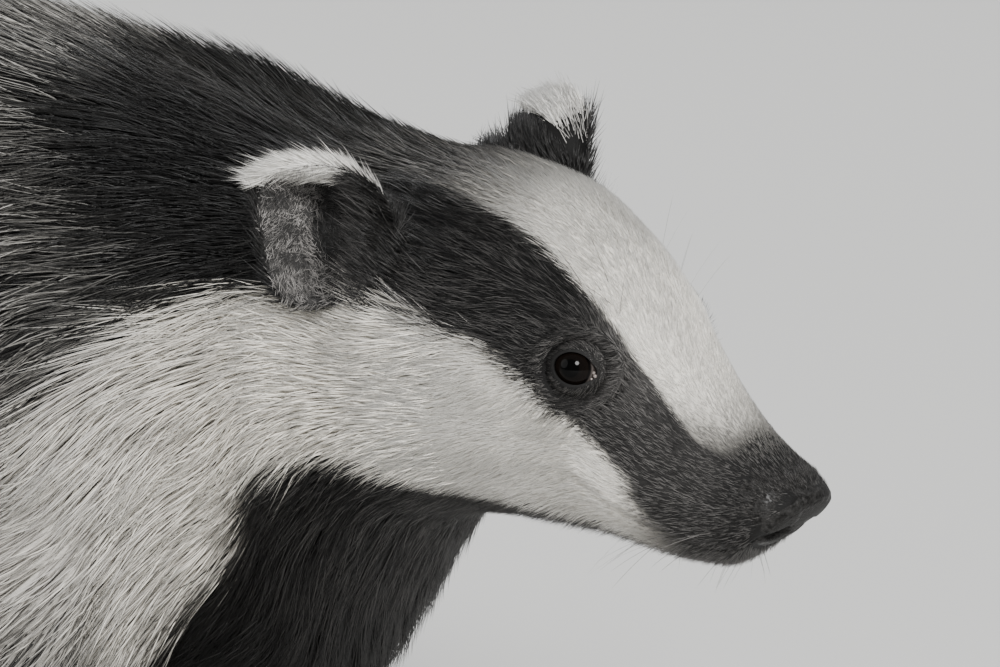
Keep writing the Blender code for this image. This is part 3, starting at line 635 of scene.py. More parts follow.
def toe_lines():
    """The line of each toe and each claw as (point, radius) stops."""
    lines = []
    for side in SIDES.values():
        for toes, across in ((FORE_TOES, 78 * MM), (HIND_TOES, 83 * MM)):
            for k in range(TOE_COUNT):
                off = k - (TOE_COUNT - 1) / 2
                fan = math.radians(5) * off
                ahead = np.array([math.cos(fan), math.sin(fan), 0])
                short = abs(off) * 3.2 * MM + (off * side < -1) * 4 * MM
                r = toes.radius
                start = np.array([toes.front - short, side * across + off * toes.spread, r]) + SHIFT
                up = np.array([0, 0, 1])
                tip = start + ahead * toes.length
                toe = [
                    (start - ahead * 13 * MM + up * 3 * MM, r * 0.75),
                    (start - ahead * 4 * MM + up * 2 * MM, r * 0.92),
                    (start + ahead * toes.length * 0.5, r * 0.94),
                    (start + ahead * toes.length * 0.82, r * 0.85),
                    (tip, r * 0.5),
                ]
                claw = [
                    (tip - ahead * 5 * MM + up * 1.0 * MM, r * 0.44),
                    (tip + ahead * toes.claw * 0.15 + up * 1.4 * MM, r * 0.42),
                    (tip + ahead * toes.claw * 0.4 + up * 1.0 * MM, r * 0.36),
                    (tip + ahead * toes.claw * 0.7 - up * 1.4 * MM, r * 0.26),
                    (tip + ahead * toes.claw - up * (r - 0.9 * MM), 0.6 * MM),
                ]
                lines.append((toe, claw))
    return lines


# %% Toes
TOE_LINES = toe_lines()
toe_objects = []
for toe, _ in TOE_LINES:
    bm = bmesh.new()
    taper(bm, toe, 14)
    bmesh.ops.recalc_face_normals(bm, faces=bm.faces)
    toe_objects.append(to_object("toe", bm))
print(len(toe_objects), "toes")

# %% [markdown]
# The ear is a cup: a shallow bowl that faces out and a little forward, with a thick furred wall. One grid is
# wrapped from the middle of the bowl to the rim and back down its outer side, and a buried root joins it
# to the head.

# %% Ears
EAR_AT = (-59 * MM, 54.5 * MM, 31.5 * MM)
EAR_HALF_WIDTH = 18.5 * MM
EAR_HALF_HEIGHT = 17.8 * MM
EAR_DEPTH = 13 * MM
EAR_WALL = 3.2 * MM


def ear_frame(side):
    """The middle of the rim, and the directions to the rear, up and out of the cup."""
    out = unit(np.array([0.42, side * 0.89, -0.12]))
    rear = np.array([-0.88, side * 0.38, -0.1])
    rear = unit(rear - out * rear.dot(out))
    up = np.cross(rear, out) * side
    up = up if up[2] > 0 else -up
    middle = from_head(EAR_AT[0], side * EAR_AT[1], EAR_AT[2])
    return middle, HEAD_TURNED @ rear, HEAD_TURNED @ up, HEAD_TURNED @ out


def ear_surface(side):
    """v runs from the bowl's middle at 0 to the rim at 0.5 and down the back to 1."""
    middle, rear, up, out = ear_frame(side)

    def surface(v, angle):
        inner = v < 0.5
        share = np.where(inner, v * 2, 2 - v * 2)
        c, s = np.cos(angle), np.sin(angle)
        square = np.where(c > 0, 0.62, 1.0)
        c = np.sign(c) * np.abs(c) ** square * share * np.where(c > 0, 0.72, 1.0)
        s = np.sign(s) * np.abs(s) ** square * share
        sunk = 6 * MM * np.clip(-np.cos(angle), 0, 1) ** 1.5 * share
        wall = EAR_WALL * (2.2 - 1.2 * share)
        roll = np.sqrt(np.clip(1 - ((share - 0.94) / 0.06) ** 2, 0, 1))
        wall = np.where(share > 0.94, EAR_WALL * roll, wall)
        bowl = EAR_DEPTH * (1 - share * share)
        fold = 1.1 * MM * np.sin(angle * 3 + 1) * share * (1 - share) * 4
        lift = np.where(inner, -bowl + fold, -bowl - wall) - sunk
        grow = np.where(inner, 1, 1.03)[..., None]
        flat = rear * (c * EAR_HALF_WIDTH)[..., None] + up * (s * EAR_HALF_HEIGHT)[..., None]
        return middle + flat * grow + out * lift[..., None]

    return surface


ears = {}
ear_roots = []
for name, side in SIDES.items():
    shape = ear_surface(side)
    ears[name] = wrap_grid(f"ear_{name}_skin", 60, 44, lambda v, a, shape=shape: shape(0.01 + v * 0.98, a))
    middle, rear, up, out = ear_frame(side)
    bm = bmesh.new()
    place = Matrix.Translation(Vector(middle - out * EAR_DEPTH * 1.55 - up * 7 * MM))
    bmesh.ops.create_icosphere(bm, subdivisions=3, radius=12 * MM, matrix=place)
    ear_roots.append(to_object("ear_root", bm))
print("ears", [len(e.data.vertices) for e in ears.values()])

# %% [markdown]
# All these closed forms become one skin with a Boolean union, which is quicker and cleaner here than a voxel
# remesh, because the face keeps its fine grid. The creases it leaves lie under the coat.

# %% One skin
def union(base, others):
    """Joins the other closed forms to the first one."""
    group = bpy.data.collections.new("joined")
    bpy.context.scene.collection.children.link(group)
    for each in others:
        bpy.context.scene.collection.objects.unlink(each)
        group.objects.link(each)
    m = base.modifiers.new("Union", "BOOLEAN")
    m.operation, m.operand_type, m.collection, m.solver = "UNION", "COLLECTION", group, "MANIFOLD"
    bpy.context.view_layer.update()
    mesh = bpy.data.meshes.new_from_object(base.evaluated_get(bpy.context.evaluated_depsgraph_get()))
    base.modifiers.clear()
    base.data = mesh
    for each in others:
        bpy.data.objects.remove(each)
    bpy.data.collections.remove(group)
    mesh.shade_smooth()


def tree_of(obj):
    """A closed form, kept so that roots of hair inside it can be found later."""
    corners = [v.co.copy() for v in obj.data.vertices]
    return BVHTree.FromPolygons(corners, [p.vertices[:] for p in obj.data.polygons])


LEGS_BEGIN = 150 * MM  # behind the nose
TRUNK_TREE = tree_of(trunk)
LEG_TREES = [tree_of(leg) for leg in legs.values()]
union(trunk, [*legs.values(), tail, *toe_objects, *ears.values(), *ear_roots])
trunk.name = "badger_skin"
print("skin", len(trunk.data.polygons), "faces")

# %% [markdown]
# The lids are what gives an eye its look. Each pair is one ring of skin: its inner edge rests on the
# eyeball in an almond, lower at the front corner, and from there the skin rises over the lid's rim, dips
# into a fold and runs out into the face. It is a grid of angle against distance, laid on the same surface
# as the head and then thickened.

# %% The opening of an eye
LID_TILT = math.radians(13)
OPENING = (4.8 * MM, 3.9 * MM)  # half its length and half its height


def opening_radius(turn):
    """Distance from the eye's middle to the lid's edge: an almond with its corners drawn out."""
    c, s = np.cos(turn), np.sin(turn)
    a, b = OPENING
    oval = a * b / np.sqrt((b * c) ** 2 + (a * s) ** 2)
    corner = 0.9 * MM * np.clip(c, 0, 1) ** 14 + 0.3 * MM * np.clip(-c, 0, 1) ** 12
    return oval + corner


def eye_place(side):
    """The eyeball's middle, the way it looks, and the directions forward and up across it."""
    look = unit(HEAD_TURNED @ np.array([0.42, side * 0.88, 0.16]))
    up = unit(np.array([0, 0, 1]) - look * look[2])
    ahead = np.cross(up, look) * side
    ahead = ahead if ahead[0] > 0 else -ahead
    return from_head(-EYE_BACK, side * EYE_SIDE, 0.0), look, ahead, up


# %% Eyelids
LID_REACH = 12 * MM  # how far from the eye's middle the ring of skin runs


def lid_surface(side):
    """v runs from the lid's edge at 0 out into the face at 1, and turn goes round the eye."""
    centre, look, ahead, up = eye_place(side)

    def surface(v, turn):
        rim = opening_radius(turn)
        reach = rim + (LID_REACH - rim) * v**1.35
        tilted = turn - LID_TILT
        x, y = reach * np.cos(tilted), reach * np.sin(tilted)
        base = skin(*beside_eye(x, y, side), hollow=False)
        flat = np.minimum(reach, EYE_RADIUS * 0.97)
        bulge = np.sqrt((EYE_RADIUS + 0.25 * MM) ** 2 - flat**2)
        ball = centre + ahead * x[..., None] + up * y[..., None] + look * bulge[..., None]
        far = reach - rim
        rim_roll = 1.0 * MM * swell(far, 0.9 * MM, 1.1 * MM)
        fold = 1.0 * MM * swell(reach, 7.7 * MM, 0.75 * MM)
        ridge = 0.7 * MM * swell(reach, 9.2 * MM, 1.1 * MM) * (0.4 + 0.6 * np.sin(turn) ** 2)
        outer_fold = 0.3 * MM * swell(reach, 10.9 * MM, 0.8 * MM)
        buried = 2.4 * MM * smooth_step(v, 0.76, 1.0)
        height = rim_roll - fold + ridge - outer_fold - buried
        normal = unit(base - (centre - look * 12 * MM))
        return mix(base, ball, swell(far, 0, 3.2 * MM)) + normal * height[..., None]

    return surface


def make_lids(side):
    """A ring of skin round an eye, turned to face outwards and thickened inwards."""
    bm = shaped_grid(72, 30, lid_surface(side))
    bmesh.ops.recalc_face_normals(bm, faces=bm.faces)
    look = Vector(eye_place(side)[1])
    if sum(f.normal.dot(look) * f.calc_area() for f in bm.faces) < 0:
        bmesh.ops.reverse_faces(bm, faces=bm.faces)
    bmesh.ops.solidify(bm, geom=bm.faces, thickness=1.0 * MM)
    return to_object("lids", bm)


lids = [make_lids(side) for side in SIDES.values()]
print("lids", [len(each.data.vertices) for each in lids])

# %% [markdown]
# Between the hairs the skin shows, so it takes the same markings as the coat. Each of its points is turned
# back into a distance behind the nose and an angle, and asks the mask for its colour there. The feet, the
# edge of the nose pad and the rims of the lids are darker than the mask says. The ears are black, and in
# the front of each cup that black is painted shade, where the cup is deep.

# %% Places on the tube from points
def tube_coordinates(points):
    """The distance behind the nose and the angle of points near the trunk, from their places."""
    along = np.interp(-points[:, 0], -ROWS[:, 0], ALONG)
    x, y, turn, top, bottom, widest, half_width = section_at(along).T
    out = (points[:, 1] - y) * np.cos(turn) - (points[:, 0] - x) * np.sin(turn)
    rise = points[:, 2] - widest
    height = np.where(rise > 0, top - widest, widest - bottom)
    return along, np.arctan2(out / half_width, rise / height)


def points_of(mesh):
    """A mesh's points as an array."""
    flat = np.empty(len(mesh.vertices) * 3, np.float32)
    mesh.vertices.foreach_get("co", flat)
    return flat.reshape(-1, 3).astype(float)


def put_colours(mesh, colours):
    """Stores a colour on every point, where the materials read it."""
    layer = mesh.color_attributes.new("Coat", "FLOAT_COLOR", "POINT")
    flat = np.ones((len(colours), 4), np.float32)
    flat[:, :3] = colours
    layer.data.foreach_set("color", flat.ravel())


# %% Colour the skin and join the lids
def paint_skin(obj):
    """Gives every point of the skin the mask's colour, darker where bare or low, with painted shade in the
    ear cups.
    """
    points = points_of(obj.data)
    along, angle = tube_coordinates(points)
    root, middle, tip = coat_colours(along, angle, np.full(len(points), 0.4))
    colours = root * 0.4 + middle * 0.4 + tip * 0.2
    at_pad = np.linalg.norm(points - nose_point(7 * MM, 0, 0), axis=1)
    colours = mix(colours, BLACK, smooth_step(-at_pad, -22 * MM, -16 * MM))
    colours = mix(colours, BLACK * 0.9, smooth_step(-points[:, 2], -110 * MM, -80 * MM))
    for side in SIDES.values():
        centre, look, _, _ = eye_place(side)
        gap = np.linalg.norm(points - (centre + look * 4 * MM), axis=1)
        colours = mix(colours, BLACK * 0.5, 0.75 * np.exp(-((gap / (7.5 * MM)) ** 4)))
        middle, rear, _, out = ear_frame(side)
        apart = points - middle
        in_ear = (np.linalg.norm(apart, axis=1) < 27 * MM) & (apart @ out < 3 * MM)
        in_ear &= np.abs(points[:, 1] - EYES[1]) > 40 * MM
        bowl = in_ear & (apart @ out > -EAR_DEPTH * 1.02)
        # Ear skin is black; in the front of the cup this black is painted shade, and the rear wall keeps its
        # grey.
        colours[in_ear] = BLACK * 0.9
        colours[bowl & (apart @ rear > 3 * MM)] = SOOT * 1.2
    put_colours(obj.data, colours)


for each in (trunk, *lids):
    each.data.materials.clear()
    each.data.materials.append(SKIN)
    paint_skin(each)
with bpy.context.temp_override(active_object=trunk, selected_editable_objects=[trunk, *lids]):
    bpy.ops.object.join()
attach(trunk, "root")
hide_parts(*FLESH)
print("painted", len(trunk.data.vertices), "points of skin")

# %% [markdown]
# An eye is a dark ball with a wetter surface than anything else on the animal. The iris is a very dark
# brown ring round a wide pupil, drawn by how far a point lies from the line of sight, and the smooth
# surface gives the sharp highlight of a tear film. A few small, wet spots of flesh sit in the corner; their
# pale grey is partly a painted glint, lighter than the flesh itself.

# %% The eye's material
PUPIL, IRIS = 0.36, 0.68  # as shares of the ball's radius


def eye_material(centre, look):
    """A dark ball under a film of tears: near-black in the middle, with one small, sharp highlight."""
    m, shader = new_material("wet_eye")
    place = add_node(m, "TexCoord")
    middle = {"operation": "SUBTRACT", 1: centre}
    from_centre = add_node(m, "VectorMath", middle, {0: place.outputs["Object"]})
    arrow = add_node(m, "VectorMath", {"operation": "NORMALIZE"}, {0: from_centre.outputs[0]})
    sight = {"operation": "DOT_PRODUCT", 1: unit(look)}
    facing = add_node(m, "VectorMath", sight, {0: arrow.outputs[0]})
    colours = add_node(m, "ValToRGB", links={"Fac": facing.outputs["Value"]})
    ramp = colours.color_ramp
    iris, pupil = math.sqrt(1 - IRIS**2), math.sqrt(1 - PUPIL**2)
    stops = (
        (iris - 0.2, "#231f1d"),
        (iris - 0.12, "#45403d"),
        (iris - 0.06, "#0b0908"),
        (iris, "#030202"),
        (iris + 0.02, "#0c0806"),
        (pupil, "#070504"),
        (pupil + 0.012, "#010101"),
    )
    for at, code in stops:
        stop = ramp.elements.new(at)
        stop.color = linear(code)
    ramp.elements.remove(ramp.elements[0])
    ramp.elements.remove(ramp.elements[-1])
    fibres = add_node(m, "TexNoise", {"Scale": 2600, "Detail": 3}, {"Vector": place.outputs["Object"]})
    shade = add_node(m, "MapRange", {"To Min": 0.6, "To Max": 1.4}, {"Value": fibres.outputs["Fac"]})
    tint = add_node(m, "Mix", MULTIPLY, {6: colours.outputs["Color"], 7: shade.outputs["Result"]})
    m.node_tree.links.new(tint.outputs[2], shader.inputs["Base Color"])
    shader.inputs["Roughness"].default_value = 0.04
    shader.inputs["IOR"].default_value = 1.36
    shader.inputs["Specular IOR Level"].default_value = 0.12
    return m


# %% Eyes
CORNEA_EDGE = 0.78  # how squarely a point has to face ahead to lie on the cornea
CORNEA_RISE = 0.35 * MM


def make_eye(name, side):
    """A ball with the low dome of its cornea in front."""
    centre, look, ahead, _ = eye_place(side)
    bm = bmesh.new()
    turn = Vector(look).to_track_quat("Z", "Y").to_matrix().to_4x4()
    place = Matrix.Translation(Vector(centre)) @ turn
    bmesh.ops.create_uvsphere(bm, u_segments=48, v_segments=32, radius=EYE_RADIUS, matrix=place)
    for v in bm.verts:
        toward = (v.co - Vector(centre)).normalized().dot(Vector(look))
        v.co += Vector(look) * CORNEA_RISE * max(0.0, (toward - CORNEA_EDGE) / (1 - CORNEA_EDGE))
    eye = to_object(f"eye_{name}_ball", bm, eye_material(centre, look - ahead * 0.11))
    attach(eye, "root")
    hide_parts(f"eye_{name}")
    return eye


for name, side in SIDES.items():
    eye = make_eye(name, side)
    print(eye.name, len(eye.data.vertices), "points")

# %% The corners of the eyes
# Each spot: up and forward of the corner, and its radius, in mm.
CORNER_SPOTS = ((0.5, 0.0, 0.42), (-0.3, 0.35, 0.5), (-1.1, -0.5, 0.36), (1.4, -0.7, 0.3))
# Flesh under a film of tears that glints where light strikes it; its pale grey is partly a painted glint.
wet, shader = new_material("wet_eyelid_flesh_and_painted_glints")
shader.inputs["Base Color"].default_value = linear("#6d6561")
shader.inputs["Roughness"].default_value = 0.08
bm = bmesh.new()
for side in SIDES.values():
    centre, look, ahead, up = eye_place(side)
    corner = centre + ahead * 4.9 * MM - up * 1.5 * MM + look * 4.1 * MM
    for rise, forward, size in CORNER_SPOTS:
        place = Matrix.Translation(Vector(corner + up * rise * MM + ahead * forward * MM))
        bmesh.ops.create_icosphere(bm, subdivisions=3, radius=size * MM, matrix=place)
corners = to_object("eye_corners", bm, wet)
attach(corners, "root")
print("eye corners", len(corners.data.vertices), "points")

# %% [markdown]
# The nose pad is bare, moist skin with a fine pebbled grain. Its front faces forward and down, the nostrils
# open there, and each is slit back along the side like a comma. The grid is wrapped as before, and the
# nostrils and the groove between them are dents, deepest along their own lines.

# %% Rings and nostrils
# Each ring of the pad: how deep behind its front, how far it hangs, half its height and half its width.
NOSE_RINGS = (
    (15.5, 1.6, 7.6, 12.4),
    (12.5, 1.6, 9.6, 14.4),
    (8.5, 1.6, 11.0, 14.9),
    (4.5, 1.6, 11.5, 14.3),
    (2, 1, 11.4, 12.9),
    (0.6, 0.5, 10.2, 11.6),
    (0, 0, 8.6, 9.8),
)
# Each stop of a nostril's line: depth, distance from the middle, height, and half its width.
NOSTRIL = (
    (-0.2, 5.2, -2.6, 2.7),
    (0.3, 8.0, -3.6, 2.1),
    (1.0, 11.2, -4.0, 1.6),
    (2.5, 12.7, -3.8, 1.3),
    (5.5, 14.0, -2.9, 1.1),
    (10.6, 14.4, -0.9, 0.9),
)
PAD_SIDE = 0.62  # the share of the grid's rows that lie round the pad's side; the rest cover its front


# %% The form of the nose
def nose_surface(v, angle):
    """v runs from the back of the pad at 0 to the middle of its front at 1."""
    rings = np.array(NOSE_RINGS) * MM
    side_share = np.clip(v / PAD_SIDE, 0, 1)
    at = np.linspace(0, 1, len(rings))
    depth, drop, half_height, half_width = (np.interp(side_share, at, column) for column in rings.T)
    flat = np.clip((v - PAD_SIDE) / (1 - PAD_SIDE), 0, 1)
    shrink = np.sqrt(np.clip(1 - flat, 0, 1)) * (1 - flat) ** 0.3
    half_height, half_width = half_height * shrink, half_width * shrink
    depth = depth - 0.9 * MM * (1 - shrink**2)
    narrow = 1 - 0.12 * np.abs(np.cos(angle)) ** 3
    across = np.sin(angle) * half_width * narrow
    up = np.cos(angle) * half_height - drop
    dent = np.zeros_like(across)
    stops = np.array(NOSTRIL) * MM
    here = np.stack([depth, np.abs(across), up], -1)
    for a, b in zip(stops, stops[1:]):
        along = b[:3] - a[:3]
        t = np.clip(((here - a[:3]) @ along) / (along @ along), 0, 1)[..., None]
        gap = np.linalg.norm(here - (a[:3] + along * t), axis=-1)
        wide = a[3] + (b[3] - a[3]) * t[..., 0]
        deepest = 3.4 * MM * np.clip(wide / (2.4 * MM), 0.3, 1)
        dent = np.maximum(dent, deepest * np.exp(-((gap / wide) ** 4)))
    groove = 0.9 * MM * swell(across, 0, 0.7 * MM) * smooth_step(-up, 0, 6 * MM)
    rim = 0.5 * MM * swell(dent, 1.2 * MM, 0.8 * MM) * (dent > 0.15 * MM)
    inward = smooth_step(v, 0.35, 0.7)
    depth = depth + (dent + groove - rim) * inward
    squeeze = 1 - (dent * (1 - inward)) / np.maximum(np.hypot(across, up), 4 * MM)
    return nose_point(depth, across * squeeze, up * squeeze)


# %% [markdown]
# The skin of the pad is thick and grained, dry between the grains and moist in patches. So its roughness
# follows a slow stain, and a thin, wet layer lies over it only where another noise is strong.

# %% Nose
def nose_material():
    """Bare, pebbled skin, nearly black, with moist patches that catch the light."""
    m, shader = new_material("moist_nose_skin")
    place = add_node(m, "TexCoord")
    pebbles = add_node(m, "TexVoronoi", {"Scale": 1700}, {"Vector": place.outputs["Object"]})
    stain = add_node(m, "TexNoise", {"Scale": 800, "Detail": 6}, {"Vector": place.outputs["Object"]})
    colours = add_node(m, "ValToRGB", links={"Fac": stain.outputs["Fac"]})
    colours.color_ramp.elements[0].position = 0.35
    colours.color_ramp.elements[0].color = linear("#100f0e")
    colours.color_ramp.elements[1].position = 0.75
    colours.color_ramp.elements[1].color = linear("#31302f")
    dry = add_node(m, "MapRange", {"To Min": 0.4, "To Max": 0.75}, {"Value": stain.outputs["Fac"]})
    drops = add_node(m, "TexNoise", {"Scale": 480, "Detail": 2}, {"Vector": place.outputs["Object"]})
    patches = {"From Min": 0.55, "From Max": 0.65, "To Max": 0.3}
    wet = add_node(m, "MapRange", patches, {"Value": drops.outputs["Fac"]})
    grain = {"Strength": 0.7, "Distance": 0.0004}  # pebbles 0.4 mm high
    bump = add_node(m, "Bump", grain, {"Height": pebbles.outputs["Distance"]})
    m.node_tree.links.new(colours.outputs["Color"], shader.inputs["Base Color"])
    m.node_tree.links.new(dry.outputs["Result"], shader.inputs["Roughness"])
    m.node_tree.links.new(bump.outputs["Normal"], shader.inputs["Normal"])
    m.node_tree.links.new(wet.outputs["Result"], shader.inputs["Coat Weight"])
    shader.inputs["Coat Roughness"].default_value = 0.28
    shader.inputs["Coat IOR"].default_value = 1.33
    shader.inputs["Specular IOR Level"].default_value = 0.08
    return m


nose = wrap_grid("nose_pad", 190, 80, nose_surface)
nose.data.materials.append(nose_material())
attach(nose, "root")
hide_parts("nose")
print("nose", len(nose.data.vertices), "points")

# %% [markdown]
# Claws are horn: pale grey-brown, smooth and a little translucent at the tip. A badger's fore claws are long
# and only gently curved, for digging, and the hind ones are half as long. Each is extruded ring by ring.

# %% Claws
def claw_material():
    """Horn: smooth, grey-brown and streaky, with a dull shine."""
    m, shader = new_material("claw_horn")
    place = add_node(m, "TexCoord")
    growth = add_node(m, "TexNoise", {"Scale": 260, "Detail": 5}, {"Vector": place.outputs["Object"]})
    colours = add_node(m, "ValToRGB", links={"Fac": growth.outputs["Fac"]})
    colours.color_ramp.elements[0].color = linear("#40382f")
    colours.color_ramp.elements[1].color = linear("#938775")
    m.node_tree.links.new(colours.outputs["Color"], shader.inputs["Base Color"])
    shader.inputs["Roughness"].default_value = 0.34
    return m


bm = bmesh.new()
for _, claw in TOE_LINES:
    taper(bm, claw, 12)
bmesh.ops.recalc_face_normals(bm, faces=bm.faces)
claws = to_object("claws", bm, claw_material())
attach(claws, "root")
print("claws", len(claws.data.vertices), "points")

# %% [markdown]
# Every hair is a slim, three-sided spike or a bent, tapered strand. Thousands are computed at once as arrays
# and joined in a few large meshes, because particle hair would be lost when the model is exported. A hair
# follows the skin's own surface, so that it wraps round the body instead of shooting off it, and neighbours
# share a tip, as damp or coarse fur does.

# %% Directions on a surface
Coat = namedtuple("Coat", "points faces colours places")
BAKE_SPOT = 0.0015  # half the size of the patch that a hair takes in the bake map
coat_sizes = {}


def surface_frame(surface, u, v, outward):
    """Places on a surface, their outward normals, and how long a step of u and of v is."""
    du, dv = 1e-4, 1e-3
    p = surface(u, v)
    pu = (surface(u + du, v) - p) / du
    pv = (surface(u, v + dv) - p) / dv
    normal = unit(np.cross(pu, pv) * outward)
    return p, normal, np.linalg.norm(pu, axis=-1), np.linalg.norm(pv, axis=-1)


# %% [markdown]
# A strand is a chain of small triangles, three points to a ring, that narrows to one point at the tip. All
# the hairs of a band have the same number of rings, so their points, faces, colours and places in the bake
# map are four arrays, and no loop over single hairs is needed.

# %% A strand of hair
def strands(path, normals, width, colours, bake):
    """Three-sided tapering strands along paths of two or more points, from the root to the tip."""
    count, stations = len(path[0]), len(path) - 1
    points, tints, spots = [], [], []
    turns = 2 * np.pi * np.arange(3) / 3
    for k in range(stations + 1):
        t = k / stations
        tangent = path[min(k + 1, stations)] - path[max(k - 1, 0)]
        side = unit(np.cross(tangent, normals[k]))
        parts = max(0, 1 - 2 * t), 1 - abs(2 * t - 1), max(0, 2 * t - 1)
        colour = colours[0] * parts[0] + colours[1] * parts[1] + colours[2] * parts[2]
        if k == stations:
            points.append(path[k][:, None])
            tints.append(colour[:, None])
            spots.append((bake + np.array([0.0, BAKE_SPOT]))[:, None])
            continue
        half = (width / 2 * (1 - 0.55 * t))[:, None]
        ring = [path[k] + side * half * math.cos(a) + normals[k] * half * 0.7 * math.sin(a) for a in turns]
        points.append(np.stack(ring, 1))
        tints.append(np.repeat(colour[:, None], 3, 1))
        offsets = [np.array([math.cos(a), t * 2 - 1]) * BAKE_SPOT for a in turns]
        spots.append(np.stack([bake + o for o in offsets], 1))
    points, tints, spots = (np.concatenate(each, 1) for each in (points, tints, spots))
    per_hair = points.shape[1]
    faces = []
    for k in range(stations - 1):
        for i in range(3):
            a, b, c, d = k * 3 + i, k * 3 + (i + 1) % 3, k * 3 + 3 + (i + 1) % 3, k * 3 + 3 + i
            faces += [(a, b, c), (a, c, d)]
    last = (stations - 1) * 3
    faces += [(last + i, last + (i + 1) % 3, per_hair - 1) for i in range(3)]
    index = (np.arange(count) * per_hair)[:, None, None] + np.array(faces)[None]
    return Coat(points.reshape(-1, 3), index.reshape(-1, 3), tints.reshape(-1, 3), spots.reshape(-1, 2))


# %% [markdown]
# There are two ways to lay a hair. Long hair on a round form follows the surface from its root to the place
# of its tip and rises from it on the way. Short hair is laid straight from its root and bent like a bow.

# %% Two ways to lay hair
def grow(surface, outward, u, v, to_u, to_v, height, width, colours, bake, stations, bow=1.0):
    """Hairs from (u, v) along the surface to (to_u, to_v), rising to a height at the tip."""
    path, normals = [], []
    for t in np.linspace(0, 1, stations + 1):
        p, n, _, _ = surface_frame(surface, u + (to_u - u) * t, v + (to_v - v) * t, outward)
        rise = -0.25 * np.minimum(height, 2 * MM) * (1 - t) + height * (1 - (1 - t) ** bow)
        path.append(p + n * rise[:, None])
        normals.append(n)
    return strands(path, normals, width, colours, bake)


def lay(points, normals, way, length, height, width, colours, bake, stations):
    """Hairs from points on a skin, laid along it in a way that may rise from it, bent like a bow."""
    path = []
    for t in np.linspace(0, 1, stations + 1):
        rise = -0.4 * MM * (1 - t) + height * (1 - (1 - t) ** 1.6)
        path.append(points + way * (length * t)[:, None] + normals * rise[:, None])
    return strands(path, [normals] * len(path), width, colours, bake)


# %% [markdown]
# Several arrays of hairs become one mesh. It is filled from the arrays at once, because adding a million
# triangles one by one would take minutes.

# %% A coat from its hairs
def make_coat(name, parts, finish=HAIR):
    """One mesh from several arrays of hairs, with its colours and its bake map."""
    points = np.concatenate([p.points for p in parts])
    starts = np.cumsum([0] + [len(p.points) for p in parts[:-1]])
    faces = np.concatenate([p.faces + start for p, start in zip(parts, starts)])
    mesh = bpy.data.meshes.new(name)
    mesh.vertices.add(len(points))
    mesh.vertices.foreach_set("co", points.astype(np.float32).ravel())
    mesh.loops.add(faces.size)
    mesh.loops.foreach_set("vertex_index", faces.astype(np.int32).ravel())
    mesh.polygons.add(len(faces))
    mesh.polygons.foreach_set("loop_start", np.arange(0, faces.size, 3, dtype=np.int32))
    mesh.update(calc_edges=True)
    put_colours(mesh, np.concatenate([p.colours for p in parts]))
    places = np.concatenate([p.places for p in parts])
    uv = mesh.uv_layers.new(name="OFBake")
    uv.data.foreach_set("uv", places[faces.ravel()].astype(np.float32).ravel())
    mesh.materials.append(finish)
    mesh.shade_smooth()
    obj = bpy.data.objects.new(name, mesh)
    bpy.context.scene.collection.objects.link(obj)
    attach(obj, "root")
    coat_sizes[name] = len(faces)
    print(name, len(faces), "triangles")
    return obj


# %% [markdown]
# Roots are scattered evenly by area: many places are drawn, and each is kept with a chance that grows with
# the area it stands for. Places inside another form, such as a leg, are dropped, since no hair shows there.

# %% Scatter roots over a surface
AMOUNT = 1.0  # the share of the hairs that is made


def inside(points, trees, slack=0.5 * MM):
    """True where a point lies inside one of the closed forms."""
    hidden = np.zeros(len(points), bool)
    for tree in trees:
        for i, p in enumerate(points):
            if hidden[i]:
                continue
            near, normal, _, gap = tree.find_nearest(Vector(p), 0.06)
            if near is not None and gap > slack and (Vector(p) - near).dot(normal) < 0:
                hidden[i] = True
    return hidden


def scatter(surface, outward, count, u_range, v_range, weight=None):
    """Places (u, v) spread evenly by area, or by area and a weight."""
    tries = count * 5
    u, v = rng.uniform(*u_range, tries), rng.uniform(*v_range, tries)
    _, _, step_u, step_v = surface_frame(surface, u, v, outward)
    chance = step_u * step_v
    if weight is not None:
        chance = chance * weight(u, v)
    picked = rng.choice(tries, count, replace=False, p=chance / chance.sum())
    return u[picked], v[picked]


print("The share of the coat that is made:", AMOUNT)

# %% [markdown]
# Hair grows back from the nose and sinks down the sides, parts round the eye, and stands up in front of the
# ear, the shoulder and the haunch, where something firm lies under it. One could comb it by hand, but a few
# formulas of the place do the same and can be changed in a moment. Slow waves keep it from looking combed.

# %% Which way the hair lies
TURN = 6.28  # near enough a full turn, in radians
ROUND = 0.09  # metres round the trunk for each radian, on average


def waves(u, v, scale, seed):
    """Smooth random values, mostly from -1 to 1, for u along in metres and v round in radians."""
    local = np.random.default_rng(seed)
    total = np.zeros_like(u)
    for _ in range(5):
        a, b, phase = local.uniform(-1, 1), local.uniform(-1, 1), local.uniform(0, TURN)
        total += np.sin(TURN * (a * u + b * v * ROUND) / scale + phase)
    return total / 2.6


LEAN_AT = np.array([0, 45, 90, 120, 150, 190, 240, 320, 600]) * MM
LEAN = np.radians([4, 5, 9, 18, 34, 44, 40, 30, 24])


def temple(along, angle):
    """Up to 1 in front of the ear, where the fur stands up and hides the front of the cup."""
    around = np.abs(angle)
    down = (around - math.radians(52)) * 52 * MM
    raised = swell(along, 91 * MM, 13 * MM) * swell(down, 0, 17 * MM)
    return raised * smooth_step(around, math.radians(35), math.radians(48))


def over_leg(along, angle):
    """Up to 1 just in front of the shoulder and the haunch, where the fur rides up over the limb."""
    down = np.abs(angle) - math.radians(107)
    shoulder = swell(along, 174 * MM, 15 * MM) * swell(down, 0, 0.42)
    haunch = swell(along, 505 * MM, 22 * MM) * swell(down, 0, 0.36)
    return shoulder + 0.8 * haunch


